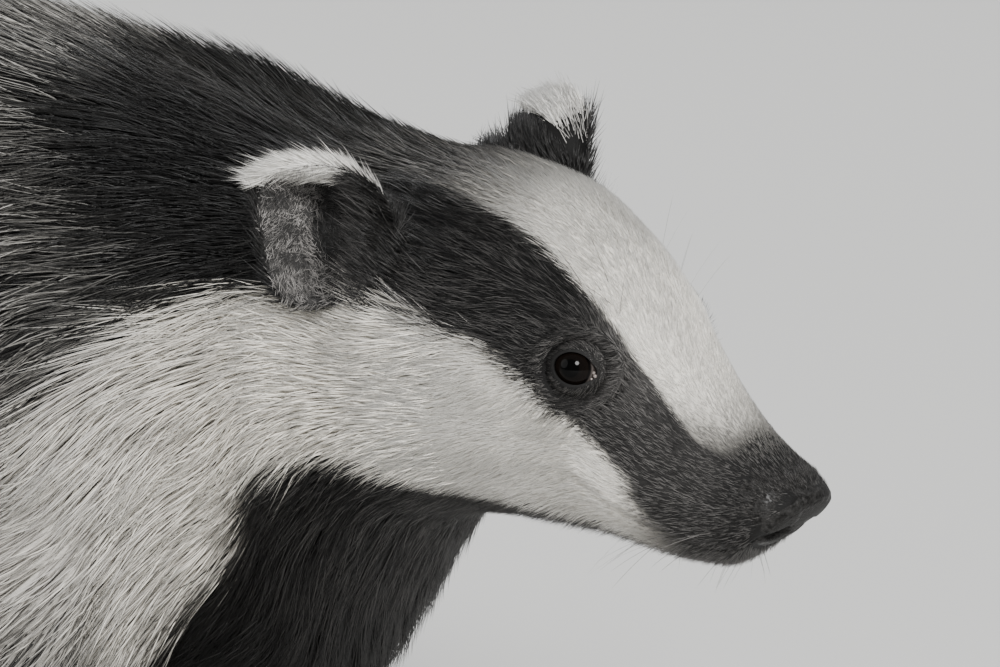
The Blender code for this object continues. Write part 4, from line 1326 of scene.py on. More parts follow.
def trunk_lean(along, angle):
    """How far a hair's way back is turned down the animal's side, in radians."""
    around = np.abs(angle)
    side = np.sin(np.clip(around, 0, math.pi)) ** 0.8
    side *= 0.55 + 0.5 * smooth_step(around, math.radians(75), math.radians(118))
    under = 1 - 0.8 * smooth_step(around, math.radians(105), math.radians(160))
    back, down = eye_offsets(along, angle)
    round_eye = swell(back, 0, 13 * MM) * swell(down, 0, 13 * MM)
    swirl = 0.9 * round_eye * np.clip(down / (8 * MM), -1, 1)
    rump = 1 - smooth_step(along, END - 50 * MM, END)
    sideways = np.interp(along, LEAN_AT, LEAN) * side * under * rump
    return sideways + swirl - 0.6 * temple(along - 6 * MM, angle)


report("Lean of the hair half way down the neck, in degrees:", np.degrees(trunk_lean(190 * MM, 1.5)))

# %% [markdown]
# Long hair gathers in clumps. The surface is cut into jittered cells, and each hair is drawn towards the
# middle of its cell and shares a draw with its neighbours there, so a clump is a little longer, darker or
# flatter as a whole. For baking, each hair gets its own small patch at its place on the unrolled trunk.

# %% Clumps, and places in the bake map
CELLS = 65537  # how many different draws the clumps can have


def clump_to(u, v, size_u, size_v, seed):
    """The middle of the jittered cell that each place falls in, and a draw that all its hairs share."""
    if size_u == 0:
        return u, v, np.zeros((len(u), 3))
    shift = np.random.default_rng(seed).uniform(0, 1, 2)
    row = np.floor(u / size_u + shift[0] + 0.3 * np.sin(v * 9))
    column = np.floor(v / size_v + shift[1] + 0.5 * (row % 2))
    key = (row.astype(np.int64) * 7919 + column.astype(np.int64) * 104729) % CELLS
    draw = np.random.default_rng(seed + 1).uniform(-1, 1, (CELLS, 3))[key]
    middle_u = (row - shift[0] + 0.5 - 0.3 * np.sin(v * 9)) * size_u
    middle_v = (column - shift[1] + 0.5 - 0.5 * (row % 2)) * size_v
    return middle_u, middle_v, draw


def trunk_bake(u, v):
    """A place in the bake map for each place on the trunk."""
    across = 0.02 + 0.96 * (v / (2 * np.pi) + 0.5) % 1.0
    return np.stack([across, 0.02 + 0.94 * np.clip(u / END, 0, 1)], -1)


# %% [markdown]
# Some places stay bare or thin: the opening of the eye, the nose pad and the ground under the ear. The
# bands of the coat also fade in and out at their ends, so that no seam shows where two of them overlap.

# %% Places with little or no hair
def face_surface(u, v):
    """The skin without the hollow of the eye, which the lids fill."""
    return skin(u, v, hollow=False)


def eye_gap(u, v):
    """Distance of a place on the trunk from the middle of its eye, less the opening's own radius."""
    back, down = eye_offsets(u, v)
    return np.hypot(back, down) - opening_radius(np.arctan2(-down, -back) + LID_TILT)


def pad_clear(u, v):
    """True away from the nose pad, which is bare."""
    apart = face_surface(u, v) - PAD_FRONT
    depth, up = -apart @ PAD_FACING, apart @ PAD_RISING
    sideways = apart - np.outer(apart @ PAD_FACING, PAD_FACING) - np.outer(up, PAD_RISING)
    across = np.linalg.norm(sideways, axis=1)
    return (depth > 10.4 * MM) | (np.hypot(across / (13.4 * MM), (up + 1.5 * MM) / (10.2 * MM)) > 1)


def ear_clear(u, v):
    """Close to 0 under the ears, where no hair shows, and 1 away from them."""
    gap = np.hypot(u - 113 * MM, (np.abs(v) - math.radians(52)) * 52 * MM)
    return smooth_step(gap, 9 * MM, 14 * MM) + 0.02


def fade(u, start, end):
    """Thins a band of the coat towards both of its ends, given in mm."""
    begun = smooth_step(u, (start - 2) * MM, (start + 16) * MM)
    return begun * smooth_step(-u, -(end + 2) * MM, -(end - 16) * MM)


# %% [markdown]
# The trunk's coat is made in bands, from velvet on the muzzle to coarse hair on the rump. Length and width
# grow from short tables against distance, so neighbouring bands agree where they meet. A hair's colour is
# taken from its root and from a draw that is partly its own and partly its clump's.

# %% A band of the trunk's coat
# Lengths and widths along the body in mm, the pieces in a hair, the size of a clump in mm, how far the
# hairs stray from one way, and how early they rise from the skin.
Band = namedtuple("Band", "lengths widths stations clump spread bow")
AT = np.array([0, 30, 60, 85, 110, 140, 180, 230, 600]) * MM


def by_distance(u, values):
    """Values in mm, given at the first few distances of AT and the same from the last one on."""
    return np.interp(u, AT[: len(values)], values) * MM


def trunk_hairs(count, reach, density, band, seed):
    """Hairs with their roots between two distances behind the nose."""
    u, v = scatter(face_surface, -1, int(count * AMOUNT), reach, (-np.pi, np.pi), density)
    keep = eye_gap(u, v) > 5.2 * MM
    u, v = u[keep], v[keep]
    number = len(u)
    luck = rng.uniform(0, 1, number)
    length = by_distance(u, band.lengths) * (0.78 + 0.44 * rng.uniform(0, 1, number))
    _, _, step_u, step_v = surface_frame(face_surface, u, v, -1)
    stray = rng.normal(0, 0.07, number) * band.spread
    lean = trunk_lean(u, v) + 0.16 * waves(u, v, 38 * MM, seed) + stray
    clump = band.clump * MM
    clump_round = np.median(clump / np.maximum(step_v, 1e-3))
    middle_u, middle_v, draw = clump_to(u, v, clump, clump_round, seed)
    pull = np.interp(u, [150 * MM, 250 * MM], [0.55, 0.42]) * (clump > 0)
    lean = lean + 0.12 * draw[:, 0]
    raised = temple(u, v)
    length = length * (1 + 0.12 * draw[:, 1]) * (1 + 1.1 * raised)
    to_u = u + (middle_u - u) * pull + length * np.cos(lean) / step_u
    to_v = v + (middle_v - v) * pull + length * np.sin(lean) / step_v * np.sign(v)
    height = coat_depth(u, v) * (0.72 + 0.38 * rng.uniform(0, 1, number) + 0.15 * draw[:, 2])
    height += (10 * MM * raised + 12 * MM * over_leg(u, v)) * rng.uniform(0.4, 1, number)
    chin = smooth_step(np.abs(v), 1.9, 2.5) * smooth_step(-u, -75 * MM, -60 * MM)
    height *= 1 + 1.2 * chin * rng.uniform(0, 1, number)
    width = by_distance(u, band.widths) * (0.75 + 0.5 * luck)
    near_u, near_v = u + rng.normal(0, 0.9 * MM, number), v + rng.normal(0, 0.02, number)
    shared = np.interp(u, [120 * MM, 180 * MM, 260 * MM], [0.15, 0.42, 0.28])
    luck = np.clip(0.5 + (luck - 0.5) * (1.15 - shared) + shared * draw[:, 2], 0, 1)
    colours = coat_colours(np.abs(near_u), near_v, luck)
    show = pad_clear(u, v)
    if reach[1] > LEGS_BEGIN:
        show &= ~inside(face_surface(u, v), LEG_TREES)
    u, v, to_u, to_v, height, width = (each[show] for each in (u, v, to_u, to_v, height, width))
    colours = [each[show] for each in colours]
    bake = trunk_bake(u, v)
    shape = band.stations, band.bow
    return grow(face_surface, -1, u, v, to_u, to_v, height, width, colours, bake, *shape)


def in_half(v, part):
    """True on one side of the animal: part 0 is its right and part 1 its left."""
    return (v >= 0) == bool(part)


# %% [markdown]
# The face takes two bands of very short hair, many and fine, because the eye looks at it from close by.
# Straight hairs of a single piece are enough where they are 2 to 14 mm long.

# %% The muzzle and the face
MUZZLE = Band([1.6, 2.3, 4.2, 7, 9], [0.2, 0.24, 0.28, 0.3], 1, 0, 2.0, 1.0)
FACE = Band([2.4, 2.5, 4.2, 7.2, 11, 14], [0.2, 0.25, 0.3, 0.34, 0.38, 0.4], 1, 0, 2.0, 1.0)


def on_muzzle(u, v):
    """How dense the band is: most at the nose."""
    return (1.2 - 0.5 * u / (50 * MM)) * fade(u, 0, 54)


def on_face(u, v):
    """How dense the band is."""
    return fade(u, 42, 102)


muzzle = trunk_hairs(22000, (1.5 * MM, 54 * MM), on_muzzle, MUZZLE, 11)
face = trunk_hairs(44000, (42 * MM, 102 * MM), on_face, FACE, 12)
make_coat("coat_face", [muzzle, face])

# %% [markdown]
# Behind the cheek the hair grows from 1 cm to nearly 5 cm over the next 12 cm, and starts to gather in
# clumps. The neck is made in two halves, so that neither mesh grows too large.

# %% The cheeks and neck
CHEEKS = Band([5, 5, 7, 10, 16, 24, 34, 40], [0.3, 0.3, 0.34, 0.38, 0.45, 0.5, 0.55, 0.6], 2, 2.2, 1.2, 1.5)
NECK_LENGTHS = [5, 5, 7, 10, 17, 27, 38, 46, 48]
NECK_WIDTHS = [0.3, 0.3, 0.34, 0.36, 0.42, 0.48, 0.55, 0.62, 0.65]
NECK = Band(NECK_LENGTHS, NECK_WIDTHS, 2, 3.6, 1.3, 1.5)


def on_cheeks(u, v):
    """How dense the band is: most in front of the ear."""
    return ear_clear(u, v) * (1 + 2 * temple(u, v)) * fade(u, 78, 132)


cheeks = trunk_hairs(14500, (78 * MM, 132 * MM), on_cheeks, CHEEKS, 13)
make_coat("coat_cheeks", [cheeks])
for part in (0, 1):

    def on_neck(u, v, part=part):
        denser_ahead = np.interp(u, [110 * MM, 230 * MM], [1.3, 0.8])
        return in_half(v, part) * ear_clear(u, v) * denser_ahead * fade(u, 104, 238)

    neck = trunk_hairs(19500, (104 * MM, 238 * MM), on_neck, NECK, 21 + part)
    make_coat(f"coat_neck_{part}", [neck])

# %% [markdown]
# Over the back, the flanks and the belly the guard hairs are long and coarse. Fewer of them cover the same
# area, so they are also made wider than the real 0.2 mm, which can't be seen from where one stands.

# %% The back, flanks and belly
BODY_LENGTHS = [5, 5, 7, 10, 18, 30, 40, 50, 54]
BODY_WIDTHS = [0.3, 0.3, 0.34, 0.4, 0.6, 0.8, 0.85, 1.05, 1.2]
BODY = Band(BODY_LENGTHS, BODY_WIDTHS, 2, 6, 1.3, 1.5)
for part in (0, 1):

    def on_body(u, v, part=part):
        denser_ahead = np.interp(u, [200 * MM, 260 * MM], [2.2, 1.0])
        return in_half(v, part) * denser_ahead * fade(u, 205, 900)

    body = trunk_hairs(16700, (205 * MM, END), on_body, BODY, 31 + part)
    make_coat(f"coat_body_{part}", [body])

# %% [markdown]
# The limbs and ears are rounder than the trunk, so most of their hairs are laid straight from points drawn
# on the finished skin. First a triangle is drawn, larger ones more often, and then a place on it, so the
# points spread evenly by area.

# %% Draw points on the skin
class SkinPoints:
    """The triangles of the skin, to draw points from."""

    def __init__(self, mesh):
        mesh.calc_loop_triangles()
        count = len(mesh.loop_triangles)
        corners = np.empty(count * 3, np.int32)
        mesh.loop_triangles.foreach_get("vertices", corners)
        self.corners = points_of(mesh)[corners.reshape(-1, 3)]
        cross = np.cross(self.corners[:, 1] - self.corners[:, 0], self.corners[:, 2] - self.corners[:, 0])
        self.area = np.linalg.norm(cross, axis=1) / 2
        self.normals = cross / np.maximum(self.area * 2, 1e-15)[:, None]
        self.middles = self.corners.mean(1)

    def draw(self, count, chosen):
        """Places and their normals, by area and by how far each triangle is chosen."""
        chance = self.area * chosen
        picked = rng.choice(len(chance), count, p=chance / chance.sum())
        a, b = np.sqrt(rng.uniform(0, 1, count)), rng.uniform(0, 1, count)
        share = np.stack([1 - a, a * (1 - b), a * b], 1)[..., None]
        return (self.corners[picked] * share).sum(1), self.normals[picked]


DRAWN = SkinPoints(trunk.data)


def along_skin(way, normals, lift=0.0):
    """Directions pressed flat against a skin, then lifted from it by a share."""
    flat = way - normals * (way * normals).sum(1, keepdims=True)
    return unit(flat) + normals * lift


def shades(dark, pale, luck):
    """Root, middle and tip colours between two, by a draw for each hair; the root darker as painted shade.
    """
    share = np.clip(luck[:, None] + rng.normal(0, 0.35, (len(luck), 1)) * 0.3, 0, 1)
    body = dark + (pale - dark) * share
    return body * 0.8, body, body * 1.15


spot = DRAWN.middles
print("The skin has", len(spot), "triangles")

# %% [markdown]
# The legs are black. Their hair is short and runs down and a little back, and on the paw it turns forward
# over the toes and is shorter still. No hair may run into the floor, so each one's length is held to what
# its height and direction allow.

# %% Legs and paws
LOW_BELLY = 128 * MM
BESIDE_MIDDLE = 28 * MM  # the legs stand at least this far from the animal's middle
LEG_REACH = {"fore": (70 * MM, np.inf), "hind": (-330 * MM, -160 * MM)}
for end, (rearmost, foremost) in LEG_REACH.items():
    near = (spot[:, 0] > SHIFT[0] + rearmost) & (spot[:, 0] < SHIFT[0] + foremost)
    near &= np.abs(spot[:, 1] - SHIFT[1]) > BESIDE_MIDDLE
    fine = 1 + 2.5 * (spot[:, 2] < 45 * MM)
    chosen = near * (spot[:, 2] < LOW_BELLY) * (spot[:, 2] > 2 * MM) * fine
    points, normals = DRAWN.draw(int(7800 * AMOUNT), chosen)
    count, z = len(points), points[:, 2]
    foot = smooth_step(z, 50 * MM, 26 * MM)
    down = np.stack([-0.25 + foot * 1.6, np.zeros(count), -1 + foot * 0.75], 1)
    way = along_skin(down + rng.normal(0, 0.13, (count, 3)), normals, 0.08)
    length = (5 + 11 * smooth_step(z, 25 * MM, 95 * MM)) * MM * rng.uniform(0.75, 1.2, count)
    to_floor = (z - 0.4 * MM) / np.maximum(-way[:, 2], 0.05)
    length = np.minimum(length, np.where(way[:, 2] < 0, to_floor, 1))
    height = np.interp(z, [20 * MM, 45 * MM, 100 * MM], [0.9 * MM, 2.4 * MM, 4 * MM])
    height = height * rng.uniform(0.6, 1.1, count)
    width = np.interp(z, [20 * MM, 60 * MM, 110 * MM], [0.5 * MM, 0.7 * MM, 1.0 * MM])
    colours = shades(BLACK, SOOT * 1.1, rng.uniform(0, 1, count))
    around = np.arctan2(points[:, 1], points[:, 0]) / 6.3 + 0.5
    bake = np.stack([0.03 + 0.94 * around, 0.03 + 0.9 * z / LOW_BELLY], 1)
    hairs = lay(points, normals, way, length, height, width, colours, bake, 2)
    make_coat(f"coat_{end}legs", [hairs])

# %% [markdown]
# The tail's hair is long and coarse and follows the tail's own bend down to its tip, so it grows along the
# same surface as the skin there. Round the root of the tail the trunk ends in a flat face, and a patch of
# hair of its own covers that face.

# %% Tail
TAIL_LENGTH = 0.17
GUARD_WIDTH = 0.95 * MM


def tail_coat(count):
    """Long hair that follows the tail's own droop, grizzled like the rump at its root and paler beyond."""
    _, facing, _, _ = surface_frame(tail_surface, np.array([0.5]), np.array([0.0]), 1)
    outward = 1 if facing[0, 2] > 0 else -1
    u, v = scatter(tail_surface, outward, count, (0.02, 1.0), (-np.pi, np.pi))
    show = ~inside(tail_surface(u, v), [TRUNK_TREE])
    u, v = u[show], v[show]
    _, _, step_u, _ = surface_frame(tail_surface, u, v, outward)
    near_end = smooth_step(u, 0.65, 1.0)
    luck = rng.uniform(0, 1, len(u))
    length = rng.uniform(34, 52, len(u)) * MM * (1 - 0.45 * near_end)
    height = rng.uniform(4.5, 8.5, len(u)) * MM * (1 - 0.5 * near_end)
    to_u = u + length / step_u
    to_v = v + 0.3 * waves(u * TAIL_LENGTH, v, 30 * MM, 41) + rng.normal(0, 0.16, len(u))
    body = GREY * 0.7 + (SILVER - GREY * 0.7) * luck[:, None]
    rump = coat_colours(np.full(len(u), END - 10 * MM), v * 0.5, luck)
    blend = smooth_step(u, 0.2, 0.55)
    # Roots darker than the rest: painted shade down in the long coat.
    colours = [mix(r, b, blend) for r, b in zip(rump, (body * 0.4, body * 0.9, body * 1.1))]
    bake = np.stack([0.03 + 0.94 * (v / (2 * np.pi) + 0.5), 0.05 + 0.9 * u], 1)
    width = np.full(len(u), GUARD_WIDTH)
    return grow(tail_surface, outward, u, v, to_u, to_v, height, width, colours, bake, 2, 1.3)


def vent_coat(count):
    """Hair on the flat end of the trunk, which stands out under the tail's root and hangs a little."""
    seat = (spot[:, 0] < SHIFT[0] - 318 * MM) & (DRAWN.normals[:, 0] < -0.8) & (spot[:, 2] > 165 * MM)
    points, normals = DRAWN.draw(count, seat & (spot[:, 0] > SHIFT[0] - 334 * MM))
    way = unit(np.array([-0.8, 0, -0.5]) + rng.normal(0, 0.22, (count, 3)))
    length = rng.uniform(18, 32, count) * MM
    luck = rng.uniform(0, 1, count)
    colours = coat_colours(np.full(count, END - 10 * MM), np.full(count, 1.0), luck)
    bake = np.stack([0.5 + points[:, 1] * 2, 0.5 + (points[:, 2] - 0.2) * 2], 1)
    rise, width = np.full(count, 3 * MM), np.full(count, GUARD_WIDTH)
    return lay(points, normals, way, length, rise, width, colours, bake, 2)


make_coat("coat_tail", [tail_coat(int(4600 * AMOUNT)), vent_coat(int(900 * AMOUNT))])

# %% [markdown]
# A badger's ear is edged with white along its top. The wall behind the opening is covered with short grey
# hair, and in front of it the dark fur of the temple stands up and hides half of the cup, so dark tufts
# are rooted along the cup's front wall and laid back over it.

# %% The ears' coat
FRINGE_TIP = (19 * MM, 16.5 * MM)  # behind and above the middle of the rim


def fringe_line(x):
    """How high on the ear its white edge begins, at a distance behind the middle of the rim."""
    return 13.4 * MM - np.where(x < 0, 27, -2) * x**2


def tinted(body, root=0.75, tip=1.2):
    """Root, middle and tip colours from the middle's, the root darker as painted shade among the hairs."""
    return body * root, body, body * tip


class Ear:
    """One ear: its frame, where the skin's triangles lie on it, and the hairs made so far."""

    def __init__(self, side):
        self.middle, self.rear, self.up, self.out = ear_frame(side)
        apart = spot - self.middle
        self.behind, self.above, self.outside = apart @ self.rear, apart @ self.up, apart @ self.out
        self.around = np.hypot(self.behind, self.above)
        self.near = (self.around < 26 * MM) & (self.outside > -26 * MM) & (self.outside < 4 * MM)
        self.facing_out = DRAWN.normals @ self.out
        self.beside_head = np.abs(spot[:, 1] - EYES[1]) > 33 * MM
        self.parts = []

    def tufts(self, count, chosen, way_of, length_of, height, width, colours_of, wander, stations=2):
        """Hairs on the chosen triangles. Lengths, height and width are in mm."""
        points, normals = DRAWN.draw(int(count * AMOUNT), chosen)
        number = len(points)
        at = points - self.middle
        x, y = at @ self.rear, at @ self.up
        way = unit(way_of(x, y, normals) + rng.normal(0, wander, (number, 3)))
        stray = 1 + 0.6 * (rng.uniform(0, 1, number) > 0.93)
        length = length_of(x, y) * MM * rng.uniform(0.7, 1.2, number) * stray
        bake = np.stack([0.5 + x * 15, 0.5 + y * 15], 1)
        rise, thick = np.full(number, height * MM), np.full(number, width * MM)
        colours = colours_of(x, y, rng.uniform(0, 1, (number, 1)))
        self.parts.append(lay(points, normals, way, length, rise, thick, colours, bake, stations))


# %% The wall of the ear
def wall_coat(ear):
    """Short, mottled hair on the wall behind the opening, darkened by painted shade where the cup is deep.
    """
    bowl = ear.near & (ear.facing_out > 0.1) & (ear.outside > -EAR_DEPTH - 5 * MM)
    rear_wall = bowl & (ear.around < 21 * MM) & (ear.behind > -7 * MM)

    def colours(x, y, luck):
        # Painted shade, darkest low in the front of the cup, where the opening is deep.
        deep = smooth_step(-np.hypot(x + 5.5 * MM, (y + 4 * MM) * 0.4), -9 * MM, -5 * MM)[:, None]
        mottle = (waves(x, y * 11, 5 * MM, 71) + waves(x, y * 11, 2.4 * MM, 72))[:, None]
        pale = np.clip(luck * 0.6 + 0.25 + 0.5 * mottle, 0, 1)
        return tinted((SOOT * 1.1 + (GREY * 1.7 - SOOT * 1.1) * pale) * (1 - 0.93 * deep), 0.5, 1.25)

    def up_wall(x, y, n):
        return along_skin(ear.up * 0.8 + ear.rear * 0.3 + 0 * n, n, 0.3)

    ear.tufts(6400, rear_wall, up_wall, lambda x, y: 2.3 + 0 * x, 0.7, 0.26, colours, 0.55, 1)


def front_coat(ear):
    """Dark tufts rooted along the front wall and laid back over the cup."""
    front_wall = ear.near & (ear.behind < -9 * MM) & (ear.above < 11 * MM)
    front_wall &= (ear.facing_out > -0.2) & ear.beside_head

    def over_cup(x, y, n):
        return ear.rear * 0.5 + ear.up * 0.72 + ear.out * 0.42 + 0 * n

    def longer_ahead(x, y):
        return 8 + 4 * smooth_step(-x, 9 * MM, 17 * MM)

    def mostly_black(x, y, luck):
        return tinted(BLACK + (GREY * 0.4 - BLACK) * luck**4, 0.8, 1.3)

    ear.tufts(3200, front_wall, over_cup, longer_ahead, 1.5, 0.36, mostly_black, 0.15)


# %% [markdown]
# The white hairs of the edge run back along it and gather towards one point at the rear, as if licked
# together. In front they grow fewer and greyer, where the edge runs down into the temple.

# %% The edge of the ear
def edge_coat(ear):
    """The white hair along the top, and short grey hair along the lower rim."""
    band = fringe_line(ear.behind)
    top = ear.near & (ear.above > band) & (ear.around > 12 * MM) & (ear.outside > -12 * MM)
    thinned = 1 - 0.92 * smooth_step(-ear.behind, 8 * MM, 13.5 * MM)
    thinned *= 1 - 0.6 * smooth_step(ear.behind, 8 * MM, 15 * MM)

    def along_rim(x, y, n):
        front = smooth_step(-x, 4 * MM, 16 * MM)
        behind = smooth_step(x, 0, 9 * MM)
        to_x, to_y = FRINGE_TIP[0] - x, FRINGE_TIP[1] - y
        gap = np.maximum(np.hypot(to_x, to_y), 1 * MM)
        rearward = (1 - 0.4 * front) * (1 - behind) + to_x / gap * behind
        upward = (0.22 + 0.4 * front) * (1 - behind) + to_y / gap * behind
        return np.outer(rearward, ear.rear) + np.outer(upward, ear.up) + n * 0.1

    def to_tip(x, y):
        left_over = np.hypot(FRINGE_TIP[0] - x, FRINGE_TIP[1] - y) / MM
        return np.where(x > 3 * MM, np.clip(left_over, 2.5, 7), 7)

    def white(x, y, luck):
        front = smooth_step(-x, 9 * MM, 17 * MM)[:, None]
        body = WHITE * (0.62 + 0.38 * luck)
        return tinted(body + (GREY * (0.3 + luck) - body) * 0.7 * front, 0.7, 1.0)

    ear.tufts(4300, top * thinned, along_rim, to_tip, 0.8, 0.34, white, 0.14)
    lower = ear.near & (ear.above < -10 * MM) & (ear.behind > -8 * MM) & (ear.outside > -9 * MM)

    def down_rim(x, y, n):
        return along_skin(ear.rear * 0.4 - ear.up * 0.6 + 0 * n, n, 0.2)

    def grey(x, y, luck):
        return tinted(SOOT + (GREY * 1.2 - SOOT) * luck)

    ear.tufts(800, lower, down_rim, lambda x, y: 2.8 + 0 * x, 0.6, 0.28, grey, 0.3)


# %% The outside of the ear
def outer_coat(ear):
    """Black hair on the ear's back, shorter towards the white edge."""
    below_edge = ear.above < fringe_line(ear.behind) - 1.5 * MM
    outer = ear.near & (ear.facing_out < 0.15) & ear.beside_head & below_edge

    def up_back(x, y, n):
        return along_skin(ear.rear * 0.5 + ear.up * 0.8 + 0 * n, n, 0.12)

    def below_fringe(x, y):
        return np.clip((fringe_line(x) - y) / MM * 1.1, 2, 8)

    def sooty(x, y, luck):
        return tinted(BLACK + (SOOT - BLACK) * luck)

    ear.tufts(3000, outer, up_back, below_fringe, 0.9, 0.45, sooty, 0.15)


for name, side in SIDES.items():
    ear = Ear(side)
    for add_hair in (wall_coat, front_coat, edge_coat, outer_coat):
        add_hair(ear)
    make_coat(f"coat_ear_{name}", ear.parts)

# %% [markdown]
# Round the eye the hair is too short to hide the lids' own form, so it is rooted on the lids and lies back
# over them. The rims stay bare.

# %% Fur on the lids
def lid_coat():
    """Very short hair on both pairs of lids, shorter and more upright at the rims."""
    parts = []
    for side in SIDES.values():
        centre, look, ahead, up = eye_place(side)
        apart = spot - centre
        x, y = apart @ ahead, apart @ up
        gap = np.hypot(x, y) - opening_radius(np.arctan2(y, x) + LID_TILT)
        near = (gap > 0.5 * MM) & (gap < 8.2 * MM)
        near &= (apart @ look > -10 * MM) & (DRAWN.normals @ look > 0.2)
        points, normals = DRAWN.draw(int(7400 * AMOUNT), near)
        count = len(points)
        at = points - centre
        x, y = at @ ahead, at @ up
        reach = np.hypot(x, y)
        gap = reach - opening_radius(np.arctan2(y, x) + LID_TILT)
        outward = np.outer(x / reach, ahead) + np.outer(y / reach, up)
        backward = -ahead - up * 0.15
        way = backward + outward * (0.7 * np.exp(-gap / (4 * MM)))[:, None]
        way = along_skin(way + rng.normal(0, 0.13, (count, 3)), normals, 0.1)
        length = np.interp(gap, [0, 3 * MM, 9 * MM], [1.5, 2.6, 4.4]) * MM * rng.uniform(0.7, 1.25, count)
        toward = way @ ahead * x + way @ up * y
        length *= np.where(toward < 0, np.clip(gap / (3.5 * MM), 0.25, 1), 1)
        along, angle = tube_coordinates(points)
        luck = rng.uniform(0, 1, count)
        along, angle = along + rng.normal(0, 0.8 * MM, count), angle + rng.normal(0, 0.02, count)
        flecked = mix(SOOT * 0.5, GREY * 1.1, luck**2)
        near_rim = 0.8 * smooth_step(-gap, -6 * MM, -2 * MM)
        colours = [mix(c, flecked, near_rim) for c in coat_colours(along, angle, luck)]
        height = np.interp(gap, [0, 9 * MM], [0.2, 0.9]) * MM
        width = np.full(count, 0.24 * MM)
        bake = np.stack([0.5 + x * 20, 0.5 + y * 20], 1)
        parts.append(lay(points, normals, way, length, height, width, colours, bake, 1))
    make_coat("coat_lids", parts)


lid_coat()

# %% [markdown]
# The shoulders and haunches stand out of the trunk, so they get a coat of their own that runs into the
# trunk's, as long as the hair beside it and with the same colours, down to where the legs turn black.

# %% Shoulders and haunches
def upper_leg_coat(table, side, share_down):
    """The coat of the part of a leg that stands out of the trunk's side."""
    surface = leg_surface(table, side)
    _, normal, _, _ = surface_frame(surface, np.array([0.2]), np.array([math.pi / 2]), 1)
    outward = 1 if normal[0, 1] * side > 0 else -1
    u, v = scatter(surface, outward, int(3400 * AMOUNT), (0.02, share_down), (-np.pi, np.pi))
    p, _, step_u, step_v = surface_frame(surface, u, v, outward)
    show = ~inside(p, [TRUNK_TREE], -2 * MM) & (p[:, 2] < 215 * MM)
    u, v, p, step_u, step_v = (each[show] for each in (u, v, p, step_u, step_v))
    count, z = len(u), p[:, 2]
    down = smooth_step(-z, -185 * MM, -115 * MM)
    lean = 0.85 - 0.6 * down + rng.normal(0, 0.12, count)
    length = (34 - 16 * down) * MM * rng.uniform(0.75, 1.2, count)
    to_u = u + length * np.cos(lean) / step_u
    to_v = v + length * np.sin(lean) / step_v * np.where(v > -0.9, 1, -1)
    height = (7 - 3 * down) * MM * rng.uniform(0.6, 1.1, count)
    along, angle = tube_coordinates(p)
    along, angle = along + rng.normal(22 * MM, 9 * MM, count), angle + rng.normal(0, 0.07, count)
    luck = rng.uniform(0, 1, count)
    socks = smooth_step(-(z + rng.normal(0, 13 * MM, count)), -178 * MM, -128 * MM)
    within = np.maximum(smooth_step(-v, 0.2, 0.8), smooth_step(v, 2.5, 3.0))
    socks, black = np.maximum(socks, within), mix(BLACK, SOOT, luck**2)
    colours = [mix(c, black, socks) for c in coat_colours(along, angle, luck)]
    bake = np.stack([0.03 + 0.94 * (v / (2 * np.pi) + 0.5), 0.05 + 0.9 * u / share_down], 1)
    width = np.full(count, 0.55 * MM)
    return grow(surface, outward, u, v, to_u, to_v, height, width, colours, bake, 2, 1.5)


for kind, table, share_down in (("fore", FORELEG, 0.42), ("hind", HINDLEG, 0.5)):
    parts = [upper_leg_coat(table, side, share_down) for side in SIDES.values()]
    make_coat(f"coat_upper_{kind}legs", parts)

# %% [markdown]
# The muzzle's hair thins out over the back of the nose pad, so a little sparse, very short hair is rooted
# on the pad itself and lies back across its edge.

# %% Down on the nose pad
PAD = SkinPoints(nose.data)
depth = (PAD_FRONT - PAD.middles) @ PAD_FACING
points, normals = PAD.draw(int(6800 * AMOUNT), smooth_step(depth, 1.5 * MM, 8.5 * MM))
count = len(points)
way = along_skin(np.array([-1, 0, 0.25]) + rng.normal(0, 0.22, (count, 3)), normals, 0.12)
length = rng.uniform(1.3, 2.8, count) * MM
down = mix(BLACK, GREY * 0.8, rng.uniform(0, 1, count) ** 2)
bake = np.stack([0.5 + points[:, 1] * 20, 0.5 + (points[:, 2] - 0.19) * 20], 1)
thin = np.full(count, 0.18 * MM)
hairs = lay(points, normals, way, length, thin * 2, thin, (down, down, down * 1.2), bake, 1)
make_coat("nose_down", [hairs])

# %% [markdown]
# Whiskers are long, stiff hairs that stand out from the coat: a few over each eye, some on the upper lip and
# under the chin. Each is a strand of its own, thicker than a hair and bent a little by its weight.

# %% Whiskers
Group = namedtuple("Group", "count along angle length lift")  # in mm and degrees
WHISKERS = (
    Group(6, 50, 40, 17, 0.6),
    Group(7, 18, 112, 11, 0.5),
    Group(7, 27, 118, 15, 0.45),
    Group(8, 42, 150, 15, 0.6),
    Group(6, 22, 160, 9, 0.6),
)
SAG = np.array([0, 0, 9])  # a whisker sinks by 9 times the square of its run: 1 mm in a run of 1 cm


def whiskers(count, along, angle, length, lift, side):
    """Stiff strands round a place of the face, standing off by lift from 0 to 1."""
    u = along * MM + rng.normal(0, 3 * MM, count)
    v = (math.radians(angle) + rng.normal(0, 0.09, count)) * side
    p, normal, _, _ = surface_frame(face_surface, u, v, -1)
    back = unit(face_surface(u + 1 * MM, v) - p)
    way = unit(back * (1 - lift) + normal * lift + rng.normal(0, 0.14, (count, 3)))
    long = length * MM * rng.uniform(0.6, 1.1, count)
    runs = [(long * t)[:, None] for t in np.linspace(0, 1, 5)]
    path = [p + way * run - SAG * run**2 for run in runs]
    tint = mix(BLACK, GREY, rng.uniform(0, 1, count) ** 2)
    width = np.full(count, 0.17 * MM)
    return strands(path, [normal] * len(path), width, (tint, tint, tint), trunk_bake(u, v))


parts = [whiskers(*group, side) for side in SIDES.values() for group in WHISKERS]
make_coat("whiskers", parts)
print("The coat has", sum(coat_sizes.values()), "triangles")
print("Its largest piece has", max(coat_sizes.values()))

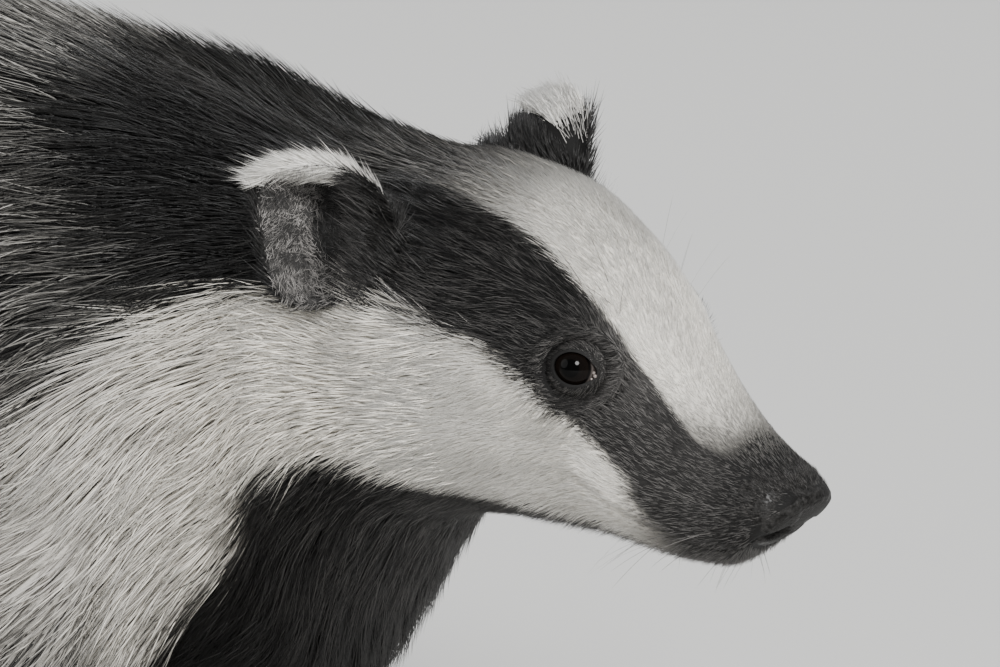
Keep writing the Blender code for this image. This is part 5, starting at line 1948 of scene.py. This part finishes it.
# %% [markdown]
# The model stands on a wide, pale floor under soft light: a large lamp in front on its right, a weak, wide
# one further back on the same side that opens the shadows, and one behind on its left that draws the edge
# of the coat. The camera looks from the front right and a little above, with a long lens, and frames the
# head and neck as in a portrait.

# %% Floor
FLOOR_HALF = 12  # metres
bm = bmesh.new()
bmesh.ops.create_grid(bm, x_segments=1, y_segments=1, size=FLOOR_HALF)
# Matt painted board: pale and dull, so shadows on it are soft and nothing is mirrored.
floor_finish, shader = new_material("pale_floor")
shader.inputs["Base Color"].default_value = linear("#d9d8d5")
shader.inputs["Roughness"].default_value = 0.9
floor = to_object("floor", bm, floor_finish)
print("floor", tuple(floor.dimensions))

# %% Camera
AZIMUTH, ELEVATION = math.radians(33), math.radians(13)
DISTANCE = 1.5
FIELD = 0.25  # metres across the picture at the head
SENSOR = 36  # millimetres
across = np.array([math.cos(AZIMUTH), math.sin(AZIMUTH), 0])
level = math.cos(ELEVATION)
away = np.array([math.sin(AZIMUTH) * level, -math.cos(AZIMUTH) * level, math.sin(ELEVATION)])
over = np.cross(away, across)
EYES_IN_PICTURE = (0.1365, 0.0178)  # right of and below the middle, as shares of its width
target = EYES - across * EYES_IN_PICTURE[0] * FIELD + over * EYES_IN_PICTURE[1] * FIELD
camera_data = bpy.data.cameras.new("camera")
camera_data.sensor_width = SENSOR
camera_data.lens = SENSOR * DISTANCE / FIELD
camera_data.clip_end = 60
camera = bpy.data.objects.new("camera", camera_data)
turned = np.column_stack([across, over, away, target + away * DISTANCE])
camera.matrix_world = Matrix([*turned.tolist(), [0, 0, 0, 1]])
bpy.context.scene.collection.objects.link(camera)
bpy.context.scene.camera = camera
print("The lens is", round(camera_data.lens), "mm long")

# %% Light
LIT = Vector((0.15, 0, 0.18))  # the shoulder, where every lamp points


def soft_light(name, place, size, power):
    """A round lamp of a size in metres and a power in watts, turned to the shoulder."""
    data = bpy.data.lights.new(name, "AREA")
    data.shape = "DISK"
    data.size = size
    data.energy = power
    lamp = bpy.data.objects.new(name, data)
    lamp.location = place
    lamp.rotation_euler = (LIT - Vector(place)).to_track_quat("-Z", "Y").to_euler()
    bpy.context.scene.collection.objects.link(lamp)
    print(name, power, "W")


soft_light("key", (1.6, -1.6, 1.7), 0.9, 128)
soft_light("fill", (-1.4, -2.0, 1.2), 2.0, 20)
soft_light("rim", (-0.8, 1.8, 1.6), 1.2, 22)
world = bpy.data.worlds.new("studio")
world.use_nodes = True
background = world.node_tree.nodes["Background"]
background.inputs["Color"].default_value = linear("#e8ebef")
background.inputs["Strength"].default_value = 0.55
bpy.context.scene.world = world

# %% [markdown]
# Last, the scene is brought up to date.

# %% Finish
bpy.context.view_layer.update()
